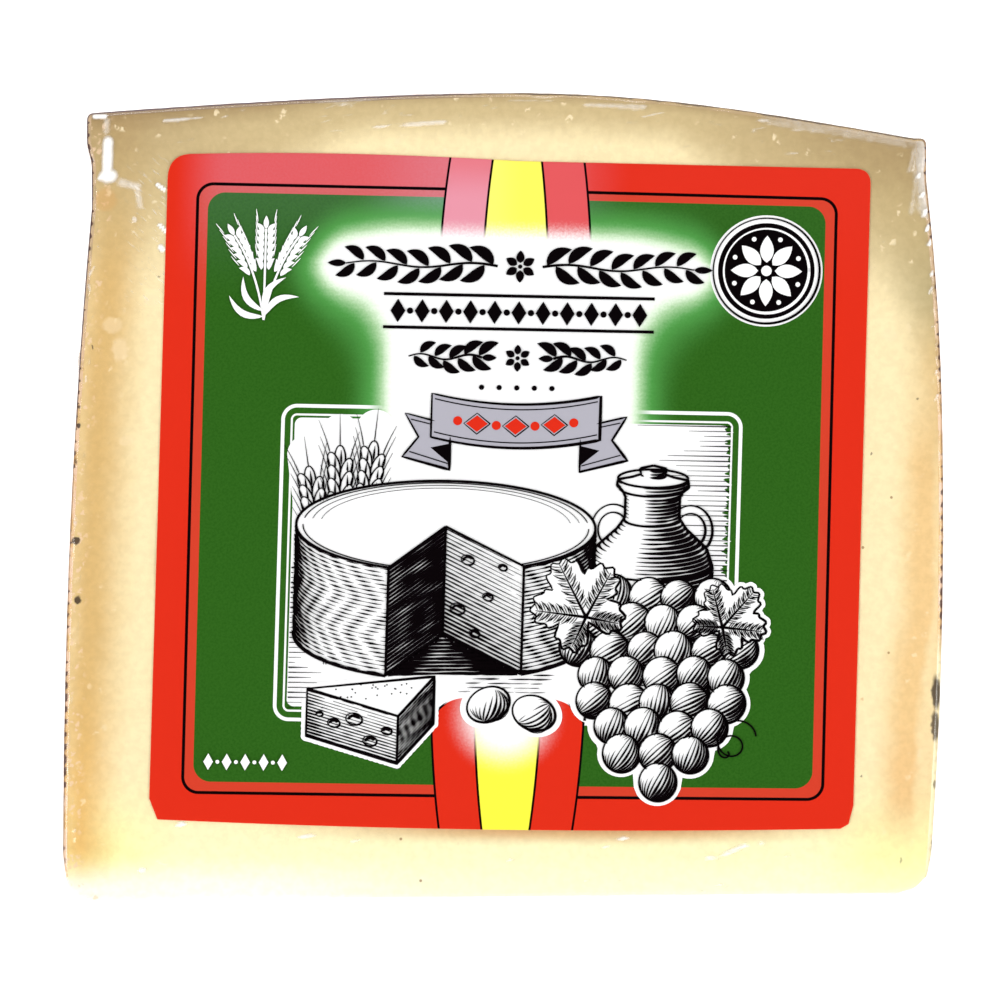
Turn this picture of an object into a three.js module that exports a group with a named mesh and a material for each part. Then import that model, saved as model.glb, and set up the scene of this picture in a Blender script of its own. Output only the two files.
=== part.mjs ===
// A wedge cut from a wheel of semi-cured cheese, sealed in tight clear film, with a printed
// label stuck on one cut face. It lies on its other cut face: X runs from one flat side of
// the wheel to the other, +Y from the thin edge at the wheel's axis out to the rind, +Z up.
import * as THREE from "three";

// Wheel and cut, mm
const WEDGE_ANGLE = THREE.MathUtils.degToRad(24.7);
const FACE_LENGTH = 92.15; // thin edge to rind along a cut face, where the rind stands out most
const AXIS_TO_TIP = 4; // the blunt thin edge stops this far short of the wheel's axis
const EDGE_RADIUS = 0.8; // film rounded over the cut edges
const TIP_CORNER_RADIUS = 3; // both ends of the thin edge
const TIP_SKEW = 0.45; // how far the thin edge runs off parallel at each side

// Flat sides of the wheel, mm from mid-width at the thin edge
const LEFT_REACH = 50.57;
const LEFT_DRAW_IN = 3.3; // lost towards the rind
const LEFT_DRAW_IN_AT = 81;
const LEFT_DRAW_IN_POWER = 2.2;
const LEFT_EAR = 0.55; // gathered film at the labelled face's rind corner
const LEFT_EAR_FROM = 86.0;
const LEFT_EAR_TO = 89.0;
const RIGHT_REACH = 50.35;
const RIGHT_WIDEST_AT = 45.0; // distance from the thin edge
const RIGHT_DRAW_IN_TIP = 1.75;
const RIGHT_DRAW_IN_RIND = 1.95;
const RIGHT_DRAW_IN_SPAN = 42.0;
const RIGHT_DRAW_IN_POWER = 2.5;

// Bulge of the wheel's outer side, mm
const LEFT_DROP = 2.25;
const LEFT_DROP_AT = 46;
const LEFT_DROP_POWER = 1.6;
const RIGHT_DROP = 5.2;
const RIGHT_DROP_AT = 47;
const RIGHT_DROP_POWER = 2.3;
const RIGHT_DROP_EASE = 0.8;

// Label, mm: corners on the cut face, across from mid-width and up from the thin edge
const LABEL_BOTTOM_LEFT = new THREE.Vector2(-40.72, 8.9);
const LABEL_BOTTOM_RIGHT = new THREE.Vector2(39.95, 7.8);
const LABEL_TOP_RIGHT = new THREE.Vector2(42.05, 83.4);
const LABEL_TOP_LEFT = new THREE.Vector2(-38.45, 85.2);
const LABEL_LEFT_RADIUS = 2.9; // the two top corners
const LABEL_RIGHT_RADIUS = 1.8;
const LABEL_LEFT_CUT = new THREE.Vector2(1, 2.4); // snipped bottom corners
const LABEL_RIGHT_CUT = new THREE.Vector2(1.4, 2.7);
const LABEL_RIGHT_CUT_BEND = new THREE.Vector2(0.5, 0.55); // the right cut has two stretches
const LABEL_BOTTOM_BOW = 0.65; // the bottom edge sags at mid-width
const LABEL_TOP_BOW = 0.4; // the left half of the top edge rises
const LABEL_THICKNESS = 0.3;
const LABEL_GAP = 0.3; // between the label and the film under it

// Mesh fineness
const STEPS_ACROSS = 34;
const STEPS_ALONG = 30;
const STEPS_THROUGH = 12;
const EDGE_STEPS = 2; // steps taken up by the rounding at each end of a row
const ROW_CROWDING = 0.75; // 0 spaces the rows evenly, towards 1 crowds them at both ends
const SLOPE_STEP = 0.5; // mm, for the slopes of the side lines
const LABEL_CURVE_STEPS = 12;

const CHEESE_IN_FILM = { color: 0xf2dca6, roughness: 0.3, metalness: 0 };
const LABEL_PAPER = { color: 0xe9321f, roughness: 0.42, metalness: 0 };

const { clamp, lerp, smoothstep } = THREE.MathUtils;

// Left and right side lines at a distance from the thin edge; height is 0 on the rear cut
// face and 1 on the labelled one
function tipRounding(along) {
  const short = clamp(TIP_CORNER_RADIUS - along, 0, TIP_CORNER_RADIUS);
  return TIP_CORNER_RADIUS - Math.sqrt(TIP_CORNER_RADIUS ** 2 - short ** 2);
}

function leftLine(along, height) {
  const drawn = LEFT_DRAW_IN * clamp(along / LEFT_DRAW_IN_AT, 0, 1) ** LEFT_DRAW_IN_POWER;
  const ear = LEFT_EAR * height * smoothstep(along, LEFT_EAR_FROM, LEFT_EAR_TO);
  return -LEFT_REACH + drawn - ear + tipRounding(along);
}

function rightLine(along) {
  const towardsRind = clamp((along - RIGHT_WIDEST_AT) / RIGHT_DRAW_IN_SPAN, 0, 1);
  const towardsTip = clamp((RIGHT_WIDEST_AT - along) / RIGHT_WIDEST_AT, 0, 1);
  const drawn =
    RIGHT_DRAW_IN_RIND * towardsRind ** RIGHT_DRAW_IN_POWER + RIGHT_DRAW_IN_TIP * towardsTip ** 2;
  return RIGHT_REACH - drawn - tipRounding(along);
}

// Radius of the wheel's outer side at a place across it
function rindRadius(across) {
  const left = Math.max(0, -across) / LEFT_DROP_AT;
  const right = clamp(across / RIGHT_DROP_AT, 0, 1);
  const leftDrop = LEFT_DROP * left ** LEFT_DROP_POWER;
  const rightDrop =
    RIGHT_DROP * right ** RIGHT_DROP_POWER * (1 + RIGHT_DROP_EASE * (1 - right));
  return AXIS_TO_TIP + FACE_LENGTH - leftDrop - rightDrop;
}

function slopeOf(line, at) {
  return (line(at + SLOPE_STEP) - line(at - SLOPE_STEP)) / (2 * SLOPE_STEP);
}

// Direction away from the wheel's axis, turned up from the rear cut face by an angle
function outwards(angle) {
  return new THREE.Vector3(0, Math.cos(angle), Math.sin(angle));
}

// A row's place in the core of the wedge, 0 to 1, and how far it leans out over the rounding
function share(step, steps) {
  return clamp((step - EDGE_STEPS) / (steps - 2 * EDGE_STEPS), 0, 1);
}

function lean(step, steps) {
  const low = Math.max(0, EDGE_STEPS - step);
  const high = Math.max(0, step - (steps - EDGE_STEPS));
  return Math.tan((Math.PI / 4) * ((high - low) / EDGE_STEPS));
}

const coreApex = outwards(WEDGE_ANGLE / 2).multiplyScalar(
  EDGE_RADIUS / Math.sin(WEDGE_ANGLE / 2),
);
const coreTip = AXIS_TO_TIP + EDGE_RADIUS - coreApex.dot(outwards(WEDGE_ANGLE));

// A point on the wedge: a core with sharp edges, then the edge radius further out along the
// directions of the faces that meet there
function wedgePoint(acrossStep, alongStep, throughStep) {
  const evenly = share(alongStep, STEPS_ALONG);
  const along = evenly - (ROW_CROWDING / (2 * Math.PI)) * Math.sin(2 * Math.PI * evenly);
  const height = share(throughStep, STEPS_THROUGH);
  const angle = WEDGE_ANGLE * height;
  const distance = along * FACE_LENGTH;
  const leftAtHeight = (at) => leftLine(at, height);
  const across = lerp(
    leftAtHeight(distance) + EDGE_RADIUS,
    rightLine(distance) - EDGE_RADIUS,
    share(acrossStep, STEPS_ACROSS),
  );

  const direction = outwards(angle);
  const apexAlong = coreApex.dot(direction);
  const coreRadius = rindRadius(across) - EDGE_RADIUS;
  const coreRind =
    Math.sqrt(apexAlong ** 2 - coreApex.lengthSq() + coreRadius ** 2) - apexAlong;
  const skew = (TIP_SKEW * across) / LEFT_REACH;
  const point = direction.multiplyScalar(lerp(coreTip + skew, coreRind, along)).add(coreApex);
  const radial = point.clone().normalize();
  point.x = across;

  const side = lean(acrossStep, STEPS_ACROSS);
  const end = lean(alongStep, STEPS_ALONG);
  const face = lean(throughStep, STEPS_THROUGH);
  const sideLine = side < 0 ? leftAtHeight : rightLine;
  const sideNormal = radial.clone().multiplyScalar(-Math.sign(side) * slopeOf(sideLine, distance));
  sideNormal.x = Math.sign(side);
  const rindNormal = radial.clone();
  rindNormal.x = -slopeOf(rindRadius, across);
  const endNormal = end < 0 ? outwards(WEDGE_ANGLE / 2).negate() : rindNormal;
  const faceNormal =
    face < 0 ? new THREE.Vector3(0, 0, -1) : outwards(WEDGE_ANGLE + Math.PI / 2);

  const out = new THREE.Vector3()
    .addScaledVector(sideNormal.normalize(), Math.abs(side))
    .addScaledVector(endNormal.normalize(), Math.abs(end))
    .addScaledVector(faceNormal, Math.abs(face));
  return point.addScaledVector(out.normalize(), EDGE_RADIUS);
}

function wedgeGeometry() {
  const geometry = new THREE.BoxGeometry(
    STEPS_ACROSS,
    STEPS_ALONG,
    STEPS_THROUGH,
    STEPS_ACROSS,
    STEPS_ALONG,
    STEPS_THROUGH,
  );
  const position = geometry.getAttribute("position");
  for (let i = 0; i < position.count; i += 1) {
    const placed = wedgePoint(
      Math.round(position.getX(i) + STEPS_ACROSS / 2),
      Math.round(position.getY(i) + STEPS_ALONG / 2),
      Math.round(position.getZ(i) + STEPS_THROUGH / 2),
    );
    position.setXYZ(i, placed.x, placed.y, placed.z);
  }
  geometry.computeVertexNormals();
  return geometry;
}

// The label's outline, anticlockwise from its bottom left corner
function labelShape() {
  const towards = (from, to, length) =>
    to.clone().sub(from).setLength(length).add(from);
  const bottomMiddle = LABEL_BOTTOM_LEFT.clone().lerp(LABEL_BOTTOM_RIGHT, 0.5);
  const topMiddle = LABEL_TOP_RIGHT.clone().lerp(LABEL_TOP_LEFT, 0.5);
  const topQuarter = LABEL_TOP_RIGHT.clone().lerp(LABEL_TOP_LEFT, 0.75);
  const rightBelow = towards(LABEL_TOP_RIGHT, LABEL_BOTTOM_RIGHT, LABEL_RIGHT_RADIUS);
  const rightBeside = towards(LABEL_TOP_RIGHT, LABEL_TOP_LEFT, LABEL_RIGHT_RADIUS);
  const leftBeside = towards(LABEL_TOP_LEFT, LABEL_TOP_RIGHT, LABEL_LEFT_RADIUS);
  const leftBelow = towards(LABEL_TOP_LEFT, LABEL_BOTTOM_LEFT, LABEL_LEFT_RADIUS);

  const shape = new THREE.Shape();
  shape.moveTo(LABEL_BOTTOM_LEFT.x + LABEL_LEFT_CUT.x, LABEL_BOTTOM_LEFT.y);
  shape.quadraticCurveTo(
    bottomMiddle.x,
    bottomMiddle.y - 2 * LABEL_BOTTOM_BOW,
    LABEL_BOTTOM_RIGHT.x - LABEL_RIGHT_CUT.x,
    LABEL_BOTTOM_RIGHT.y,
  );
  shape.lineTo(
    LABEL_BOTTOM_RIGHT.x - LABEL_RIGHT_CUT_BEND.x,
    LABEL_BOTTOM_RIGHT.y + LABEL_RIGHT_CUT_BEND.y,
  );
  shape.lineTo(LABEL_BOTTOM_RIGHT.x, LABEL_BOTTOM_RIGHT.y + LABEL_RIGHT_CUT.y);
  shape.lineTo(rightBelow.x, rightBelow.y);
  shape.quadraticCurveTo(LABEL_TOP_RIGHT.x, LABEL_TOP_RIGHT.y, rightBeside.x, rightBeside.y);
  shape.lineTo(topMiddle.x, topMiddle.y);
  shape.quadraticCurveTo(
    topQuarter.x,
    topQuarter.y + 2 * LABEL_TOP_BOW,
    leftBeside.x,
    leftBeside.y,
  );
  shape.quadraticCurveTo(LABEL_TOP_LEFT.x, LABEL_TOP_LEFT.y, leftBelow.x, leftBelow.y);
  shape.lineTo(LABEL_BOTTOM_LEFT.x, LABEL_BOTTOM_LEFT.y + LABEL_LEFT_CUT.y);
  shape.closePath();
  return shape;
}

function named(name, geometry, finish) {
  const mesh = new THREE.Mesh(geometry, new THREE.MeshStandardMaterial(finish));
  mesh.name = name;
  return mesh;
}

const filmWrappedCheese = named("film_wrapped_cheese", wedgeGeometry(), CHEESE_IN_FILM);

const label = named(
  "label",
  new THREE.ExtrudeGeometry(labelShape(), {
    depth: LABEL_THICKNESS,
    bevelEnabled: false,
    curveSegments: LABEL_CURVE_STEPS,
  }),
  LABEL_PAPER,
);
label.position.set(0, AXIS_TO_TIP, LABEL_GAP);

// The upper cut face, turned up about the wheel's axis
const cutFace = new THREE.Group();
cutFace.rotation.x = WEDGE_ANGLE;
cutFace.add(label);

// The origin is under the middle of the wedge, on the surface it lies on
filmWrappedCheese.geometry.computeBoundingBox();
const middle = filmWrappedCheese.geometry.boundingBox.getCenter(new THREE.Vector3());
const pack = new THREE.Group();
pack.position.set(-middle.x, -middle.y, 0);
pack.add(filmWrappedCheese, cutFace);

const part = new THREE.Group();
part.add(pack);

export default part;
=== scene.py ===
"""Looks of a wedge of semi-cured cheese in clear film, with a printed label on one cut face.

The wedge lies on its other cut face. Lengths are millimetres until a mesh is written, which
is in metres. A place on a cut face is given by u, across from mid-width, and v, the distance
from the thin edge. A place on the label is given by a, to the right, and b, up, from its
middle. The wheel's axis runs along X, and a place round it by its radius and angle.
"""

import math

import bpy
import numpy as np
from bpy.props import FloatProperty, FloatVectorProperty, PointerProperty
from bpy.types import Operator, Panel, PropertyGroup
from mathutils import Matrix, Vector


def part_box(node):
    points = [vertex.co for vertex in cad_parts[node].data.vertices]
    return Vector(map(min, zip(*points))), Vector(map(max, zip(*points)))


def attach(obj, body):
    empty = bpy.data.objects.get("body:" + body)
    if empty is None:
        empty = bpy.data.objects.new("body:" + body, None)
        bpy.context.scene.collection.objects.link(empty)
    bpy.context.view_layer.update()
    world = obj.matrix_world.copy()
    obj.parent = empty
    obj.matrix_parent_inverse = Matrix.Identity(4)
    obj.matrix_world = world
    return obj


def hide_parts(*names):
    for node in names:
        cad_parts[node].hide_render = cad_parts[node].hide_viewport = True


bl_info = {
    "name": "Cheese wedge in film",
    "version": (1, 0, 0),
    "blender": (4, 5, 0),
    "location": "3D View > Sidebar > Cheese",
    "description": "Makes the cheese, rind, film and printed label of a packed wedge",
    "category": "Add Mesh",
}

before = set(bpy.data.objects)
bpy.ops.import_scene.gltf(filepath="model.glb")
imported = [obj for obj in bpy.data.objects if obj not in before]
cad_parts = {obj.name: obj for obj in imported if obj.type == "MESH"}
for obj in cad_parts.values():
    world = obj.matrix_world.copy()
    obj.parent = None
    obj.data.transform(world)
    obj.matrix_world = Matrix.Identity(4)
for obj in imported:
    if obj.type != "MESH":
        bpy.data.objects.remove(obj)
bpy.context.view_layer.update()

MM = 0.001

# Wheel and cut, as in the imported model
WEDGE_ANGLE = math.radians(24.7)
FACE_LENGTH = 92.15
AXIS_TO_TIP = 4.0
EDGE_RADIUS = 0.8
TIP_CORNER_RADIUS = 3.0
TIP_SKEW = 0.45
LEFT_REACH = 50.57
LEFT_DRAW_IN = 3.3
LEFT_DRAW_IN_AT = 81.0
LEFT_DRAW_IN_POWER = 2.2
LEFT_EAR = 0.55
LEFT_EAR_FROM = 86.0
LEFT_EAR_TO = 89.0
RIGHT_REACH = 50.35
RIGHT_WIDEST_AT = 45.0
RIGHT_DRAW_IN_TIP = 1.75
RIGHT_DRAW_IN_RIND = 1.95
RIGHT_DRAW_IN_SPAN = 42.0
RIGHT_DRAW_IN_POWER = 2.5
LEFT_DROP = 2.25
LEFT_DROP_AT = 46.0
LEFT_DROP_POWER = 1.6
RIGHT_DROP = 5.2
RIGHT_DROP_AT = 47.0
RIGHT_DROP_POWER = 2.3
RIGHT_DROP_EASE = 0.8
ROW_CROWDING = 0.75
CAD_STEPS = (34, 30, 12)
SLOPE_STEP = 0.5
EDGE_STEPS = 2
FLUSH = dict.fromkeys(("face", "side", "rind", "tip"), 0)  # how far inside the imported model
PACKED_BY = 0.05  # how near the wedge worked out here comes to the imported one

# Label on the cut face: its corners in u, v
LABEL_BOTTOM_LEFT = np.array((-40.72, 8.9))
LABEL_BOTTOM_RIGHT = np.array((39.95, 7.8))
LABEL_TOP_RIGHT = np.array((42.05, 83.4))
LABEL_TOP_LEFT = np.array((-38.45, 85.2))
LABEL_WIDTH = 80.0
LABEL_HEIGHT = 76.0
LABEL_LEFT_RADIUS = 2.9
LABEL_RIGHT_RADIUS = 1.8
LABEL_LEFT_CUT = (1.0, 2.4)
LABEL_RIGHT_CUT = (1.4, 2.7)
LABEL_RIGHT_CUT_BEND = (0.5, 0.55)
LABEL_BOTTOM_BOW = 0.65
LABEL_TOP_BOW = 0.4
LABEL_LIFT = 0.012  # its underside above the film

# What the camera sees, in mm on the labelled face
VIEW_CENTRE = (-0.458, 45.48)
VIEW_WIDTH = 114.55
LENS = 120.0
SENSOR = 36.0

# The stage round the wedge
FLOOR_RADIUS = 1100.0
WALL_REACH = 500.0
WALL_RISE = 800.0


def srgb(red, green, blue):
    """Turns a display colour of 0 to 255 a channel into Blender's linear one."""
    share = np.array((red, green, blue)) / 255
    linear = np.where(share <= 0.04045, share / 12.92, ((share + 0.055) / 1.055) ** 2.4)
    return tuple(float(x) for x in linear)


def length(name, description, default):
    """A size in mm, kept in metres as Blender's own lengths are."""
    return FloatProperty(
        name=name, description=description, default=default * MM, min=0, unit="LENGTH", precision=6
    )


def colour(name, description, *shown):
    return FloatVectorProperty(
        name=name, description=description, default=srgb(*shown), size=3, min=0, max=1,
        subtype="COLOR",
    )


class CheeseSizes(PropertyGroup):
    """Sizes that a user would change."""

    film_gap: length("Film gap", "Cheese to the outside of the film", 0.06)
    crease_height: length("Crease height", "How far the film's creases stand up", 0.16)
    rind_thickness: length("Rind thickness", "Thickness of the rind", 0.5)
    imprint_pitch: length("Imprint pitch", "One square of the mould's imprint", 1.4)
    imprint_depth: length("Imprint depth", "Depth of the imprint on the flat sides", 0.2)
    plait_width: length("Plait width", "One band of the plait round the outer side", 9.0)
    plait_depth: length("Plait depth", "Depth of the plait", 0.45)
    label_thickness: length("Label thickness", "Thickness of the label's paper", 0.07)
    ink_step: length("Ink step", "Height of one layer of print over the next", 0.008)


class CheeseColours(PropertyGroup):
    """Colours of the cheese, its rind and the film."""

    heart: colour("Heart", "Paste away from the rind", 250, 232, 184)
    tip: colour("Thin edge", "Paste at the wheel's axis", 255, 249, 200)
    amber: colour("Amber", "Paste a few millimetres inside the flat sides", 219, 182, 116)
    tan: colour("Tan", "Paste under the outer side of the rind", 196, 172, 122)
    corner: colour("Corner", "Paste at the rind's corners", 160, 132, 88)
    fleck: colour("Fleck", "Pale flecks in the paste", 255, 236, 196)
    ridge: colour("Rind ridge", "Raised parts of the rind", 205, 168, 118)
    groove: colour("Rind groove", "Grooves and dark spots of the rind", 50, 18, 8)
    bloom: colour("Rind bloom", "Pale pinkish inside of the rind", 232, 196, 164)
    # The film's white where it is gathered, also a painted highlight on the creases in place of
    # glints
    haze_and_glint: colour("Film haze", "Film where it is gathered", 255, 252, 246)


class PrintColours(PropertyGroup):
    """Inks and paper of the label."""

    paper: colour("Paper", "Bare paper", 250, 250, 250)
    red: colour("Red", "Border and outer bands", 216, 45, 25)
    green: colour("Green", "Field", 47, 97, 27)
    yellow: colour("Yellow", "Middle band", 246, 239, 68)
    black: colour("Black", "Lines and engraving", 6, 2, 4)
    grey: colour("Grey", "Ribbon", 174, 172, 182)


def millimetres(size):
    return size / MM


# Numbers and shapes


def step_up(value, low, high):
    """0 below low, 1 above high, eased at both ends between them."""
    share = np.clip((value - low) / (high - low), 0, 1)
    return share * share * (3 - 2 * share)


def ripple(places, wavelength, seed, waves=14):
    """Uneven surface of about -1 to 1: the sum of sines whose directions and starts are random."""
    draw = np.random.default_rng(seed)
    directions = draw.normal(size=(waves, places.shape[-1]))
    directions /= np.linalg.norm(directions, axis=1)[:, None]
    pace = 2 * math.pi / wavelength * draw.uniform(0.6, 1.5, waves)
    starts = draw.uniform(0, 2 * math.pi, waves)
    return np.sin(places @ (directions * pace[:, None]).T + starts).sum(-1) / math.sqrt(waves)


def polar(angle):
    """The two shares of a direction: Y and Z away from the wheel's axis, or a and b."""
    angle = np.asarray(angle, float)
    return np.stack((np.cos(angle), np.sin(angle)), -1)


def arc_between(first, middle, last, share):
    """A quadratic arc from one place to another that bends towards a middle one."""
    return first * (1 - share) ** 2 + 2 * middle * share * (1 - share) + last * share**2


def grid_squares(grid, turned=False):
    """Joins a grid of point numbers in squares, the other side out where turned."""
    corners = (grid[:-1, :-1], grid[1:, :-1], grid[1:, 1:], grid[:-1, 1:])
    squares = np.stack(corners, -1).reshape(-1, 4)
    return squares[:, ::-1] if turned else squares


def ring_squares(number, turned=False):
    """The same for rows that close on themselves."""
    return grid_squares(np.column_stack((number, number[:, :1])), turned)


def placed(name, data):
    """Links a new object to the scene."""
    made = bpy.data.objects.new(name, data)
    bpy.context.scene.collection.objects.link(made)
    return made


def tip_rounding(along):
    """Circular arc at each end of the thin edge."""
    short = np.clip(TIP_CORNER_RADIUS - along, 0, TIP_CORNER_RADIUS)
    return TIP_CORNER_RADIUS - np.sqrt(TIP_CORNER_RADIUS**2 - short**2)


def left_line(along, height=0.0):
    """Left flat side: a power curve drawn in towards the rind, with the film's ear on top."""
    drawn = LEFT_DRAW_IN * np.clip(along / LEFT_DRAW_IN_AT, 0, 1) ** LEFT_DRAW_IN_POWER
    ear = LEFT_EAR * height * step_up(along, LEFT_EAR_FROM, LEFT_EAR_TO)
    return -LEFT_REACH + drawn - ear + tip_rounding(along)


def right_line(along):
    """Right flat side: widest part way along, drawn in by power curves to both ends."""
    rind = np.clip((along - RIGHT_WIDEST_AT) / RIGHT_DRAW_IN_SPAN, 0, 1)
    tip = np.clip((RIGHT_WIDEST_AT - along) / RIGHT_WIDEST_AT, 0, 1)
    drawn = RIGHT_DRAW_IN_RIND * rind**RIGHT_DRAW_IN_POWER + RIGHT_DRAW_IN_TIP * tip**2
    return RIGHT_REACH - drawn - tip_rounding(along)


def rind_radius(across):
    """Radius of the outer side: full at mid-width, less by a power curve to each side."""
    left = np.clip(-across, 0, None) / LEFT_DROP_AT
    right = np.clip(across / RIGHT_DROP_AT, 0, 1)
    eased = 1 + RIGHT_DROP_EASE * (1 - right)
    drop = LEFT_DROP * left**LEFT_DROP_POWER + RIGHT_DROP * right**RIGHT_DROP_POWER * eased
    return AXIS_TO_TIP + FACE_LENGTH - drop


def slope(line, at):
    return (line(at + SLOPE_STEP) - line(at - SLOPE_STEP)) / (2 * SLOPE_STEP)


def lattice_steps(shares, rounding=EDGE_STEPS):
    """Shares from 0 to 1 with the steps of a rounded edge before and after them, and how far
    each step leans out over its edge: the tangent of equal angles up to 45 degrees."""
    lean = np.tan(math.pi / 4 * np.arange(1, rounding + 1) / rounding)
    full = np.concatenate((np.zeros(rounding), shares, np.ones(rounding)))
    leans = np.concatenate((-lean[::-1], np.zeros(len(shares)), lean))
    return full, leans


def box_surface(counts):
    """Numbers the points on the surface of a box of counts steps each way, and joins them in
    squares that face outwards."""
    shell = np.zeros(counts, bool)
    shell[[0, -1]] = True
    shell[:, [0, -1]] = True
    shell[:, :, [0, -1]] = True
    number = np.full(counts, -1)
    number[shell] = np.arange(shell.sum())

    sheets = (
        grid_squares(number[-1]),
        grid_squares(number[0], True),
        grid_squares(number[:, -1], True),
        grid_squares(number[:, 0]),
        grid_squares(number[:, :, -1]),
        grid_squares(number[:, :, 0], True),
    )
    return np.argwhere(shell), np.concatenate(sheets)


def wedge_body(steps, inset, radius):
    """A closed wedge on a lattice: a core with sharp edges, then the edge radius further out
    along the directions of the faces that meet there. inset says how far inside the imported
    model the cut faces, flat sides, rind and thin edge lie. Gives the points, the directions
    out, the lattice places and the squares."""
    counts = tuple(len(shares) for shares, _ in steps)
    lattice, squares = box_surface(counts)
    across_share, along, height = (steps[i][0][lattice[:, i]] for i in range(3))
    side, end, face = (steps[i][1][lattice[:, i]] for i in range(3))

    apex = polar(WEDGE_ANGLE / 2) * (inset["face"] + radius) / math.sin(WEDGE_ANGLE / 2)
    distance = along * FACE_LENGTH
    left = left_line(distance, height) + inset["side"] + radius
    right = right_line(distance) - inset["side"] - radius
    across = left + (right - left) * across_share

    ray = polar(WEDGE_ANGLE * height)
    apex_along = ray @ apex
    core_radius = rind_radius(across) - inset["rind"] - radius
    core_rind = np.sqrt(apex_along**2 - apex @ apex + core_radius**2) - apex_along
    core_tip = AXIS_TO_TIP + inset["tip"] + radius - apex @ polar(WEDGE_ANGLE)
    core_tip = core_tip + TIP_SKEW * across / LEFT_REACH
    place = ray * (core_tip + (core_rind - core_tip) * along)[:, None] + apex
    radial = place / np.linalg.norm(place, axis=1)[:, None]

    def weighed(x, yz, lean):
        normal = np.column_stack((x, yz))
        return normal / np.linalg.norm(normal, axis=1)[:, None] * np.abs(lean)[:, None]

    side_slope = np.where(
        side < 0,
        slope(lambda at: left_line(at, height), distance),
        slope(right_line, distance),
    )
    side_yz = radial * -(np.sign(side) * side_slope)[:, None]
    side_out = weighed(np.sign(side) + (side == 0), side_yz, side)
    rind_out = weighed(-slope(rind_radius, across), radial, end)
    tip_out = weighed(0 * across, 0 * radial - polar(WEDGE_ANGLE / 2), end)
    face_yz = np.where((face < 0)[:, None], (0, -1), polar(WEDGE_ANGLE + math.pi / 2))
    face_out = weighed(0 * across, face_yz, face)
    out = side_out + np.where((end < 0)[:, None], tip_out, rind_out) + face_out
    out /= np.linalg.norm(out, axis=1)[:, None]
    points = np.column_stack((across, place)) + out * radius
    return points, out, lattice, squares


def crowded(count):
    """Shares that crowd at both ends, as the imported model's rows do."""
    even = np.linspace(0, 1, count)
    return even - ROW_CROWDING / (2 * math.pi) * np.sin(2 * math.pi * even)


def pack_shift():
    """The move from the wheel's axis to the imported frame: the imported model's own surface is
    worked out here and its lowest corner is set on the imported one's."""
    across, along, through = (count - 2 * EDGE_STEPS + 1 for count in CAD_STEPS)
    steps = (
        lattice_steps(np.linspace(0, 1, across)),
        lattice_steps(crowded(along)),
        lattice_steps(np.linspace(0, 1, through)),
    )
    points = wedge_body(steps, FLUSH, EDGE_RADIUS)[0]
    low, high = (np.array(corner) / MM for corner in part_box("film_wrapped_cheese"))
    if np.abs((points.max(0) - points.min(0)) - (high - low)).max() > PACKED_BY:
        raise RuntimeError("the wedge worked out here isn't the packed one")
    return low - points.min(0)


PACK_SHIFT = pack_shift()


def on_cut_face(u, v, lift):
    """Takes a place on the labelled face, and a height above it, to the wheel's frame."""
    up = AXIS_TO_TIP + v
    turned_y = up * math.cos(WEDGE_ANGLE) - lift * math.sin(WEDGE_ANGLE)
    turned_z = up * math.sin(WEDGE_ANGLE) + lift * math.cos(WEDGE_ANGLE)
    return np.stack(np.broadcast_arrays(u, turned_y, turned_z), -1)


def on_label(places, lift):
    """Takes places on the label to the wheel's frame: a blend of the label's four corners by
    the share across and the share up."""
    across = places[..., 0, None] / LABEL_WIDTH + 0.5
    up = places[..., 1, None] / LABEL_HEIGHT + 0.5
    below = LABEL_BOTTOM_LEFT + (LABEL_BOTTOM_RIGHT - LABEL_BOTTOM_LEFT) * across
    above = LABEL_TOP_LEFT + (LABEL_TOP_RIGHT - LABEL_TOP_LEFT) * across
    place = below + (above - below) * up
    return on_cut_face(place[..., 0], place[..., 1], lift)


def new_piece(name, points, faces, finish, smooth_below=40.0):
    """Writes points and groups of faces, all in mm from the wheel's axis, as one piece that
    rides on the body. Each group of faces holds faces of one size."""
    groups = [np.atleast_2d(group) for group in faces]
    corners = np.concatenate([group.ravel() for group in groups])
    sizes = np.concatenate([np.full(len(group), group.shape[1]) for group in groups])
    mesh = bpy.data.meshes.new(name)
    mesh.vertices.add(len(points))
    mesh.vertices.foreach_set("co", ((points + PACK_SHIFT) * MM).astype(np.float32).ravel())
    mesh.loops.add(len(corners))
    mesh.loops.foreach_set("vertex_index", corners.astype(np.int32))
    mesh.polygons.add(len(sizes))
    mesh.polygons.foreach_set("loop_start", (np.cumsum(sizes) - sizes).astype(np.int32))
    mesh.update(calc_edges=True)
    mesh.shade_smooth()
    mesh.set_sharp_from_angle(angle=math.radians(smooth_below))
    piece = placed(name, mesh)
    mesh.materials.append(finish)
    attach(piece, "root")
    return piece


def keep_values(piece, name, values):
    """Stores one number or three for each point, for the material to read."""
    kind, key = ("FLOAT", "value") if values.ndim == 1 else ("FLOAT_VECTOR", "vector")
    stored = piece.data.attributes.new(name, kind, "POINT")
    stored.data.foreach_set(key, values.astype(np.float32).ravel())


# Materials


def maths(operation, turned=False):
    """A method of Wire that adds a Math node, with its own wire last where turned."""

    def method(self, *others):
        terms = (*others, self) if turned else (self, *others)
        return self.finish.node("ShaderNodeMath", {"operation": operation}, dict(enumerate(terms)))

    return method


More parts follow.
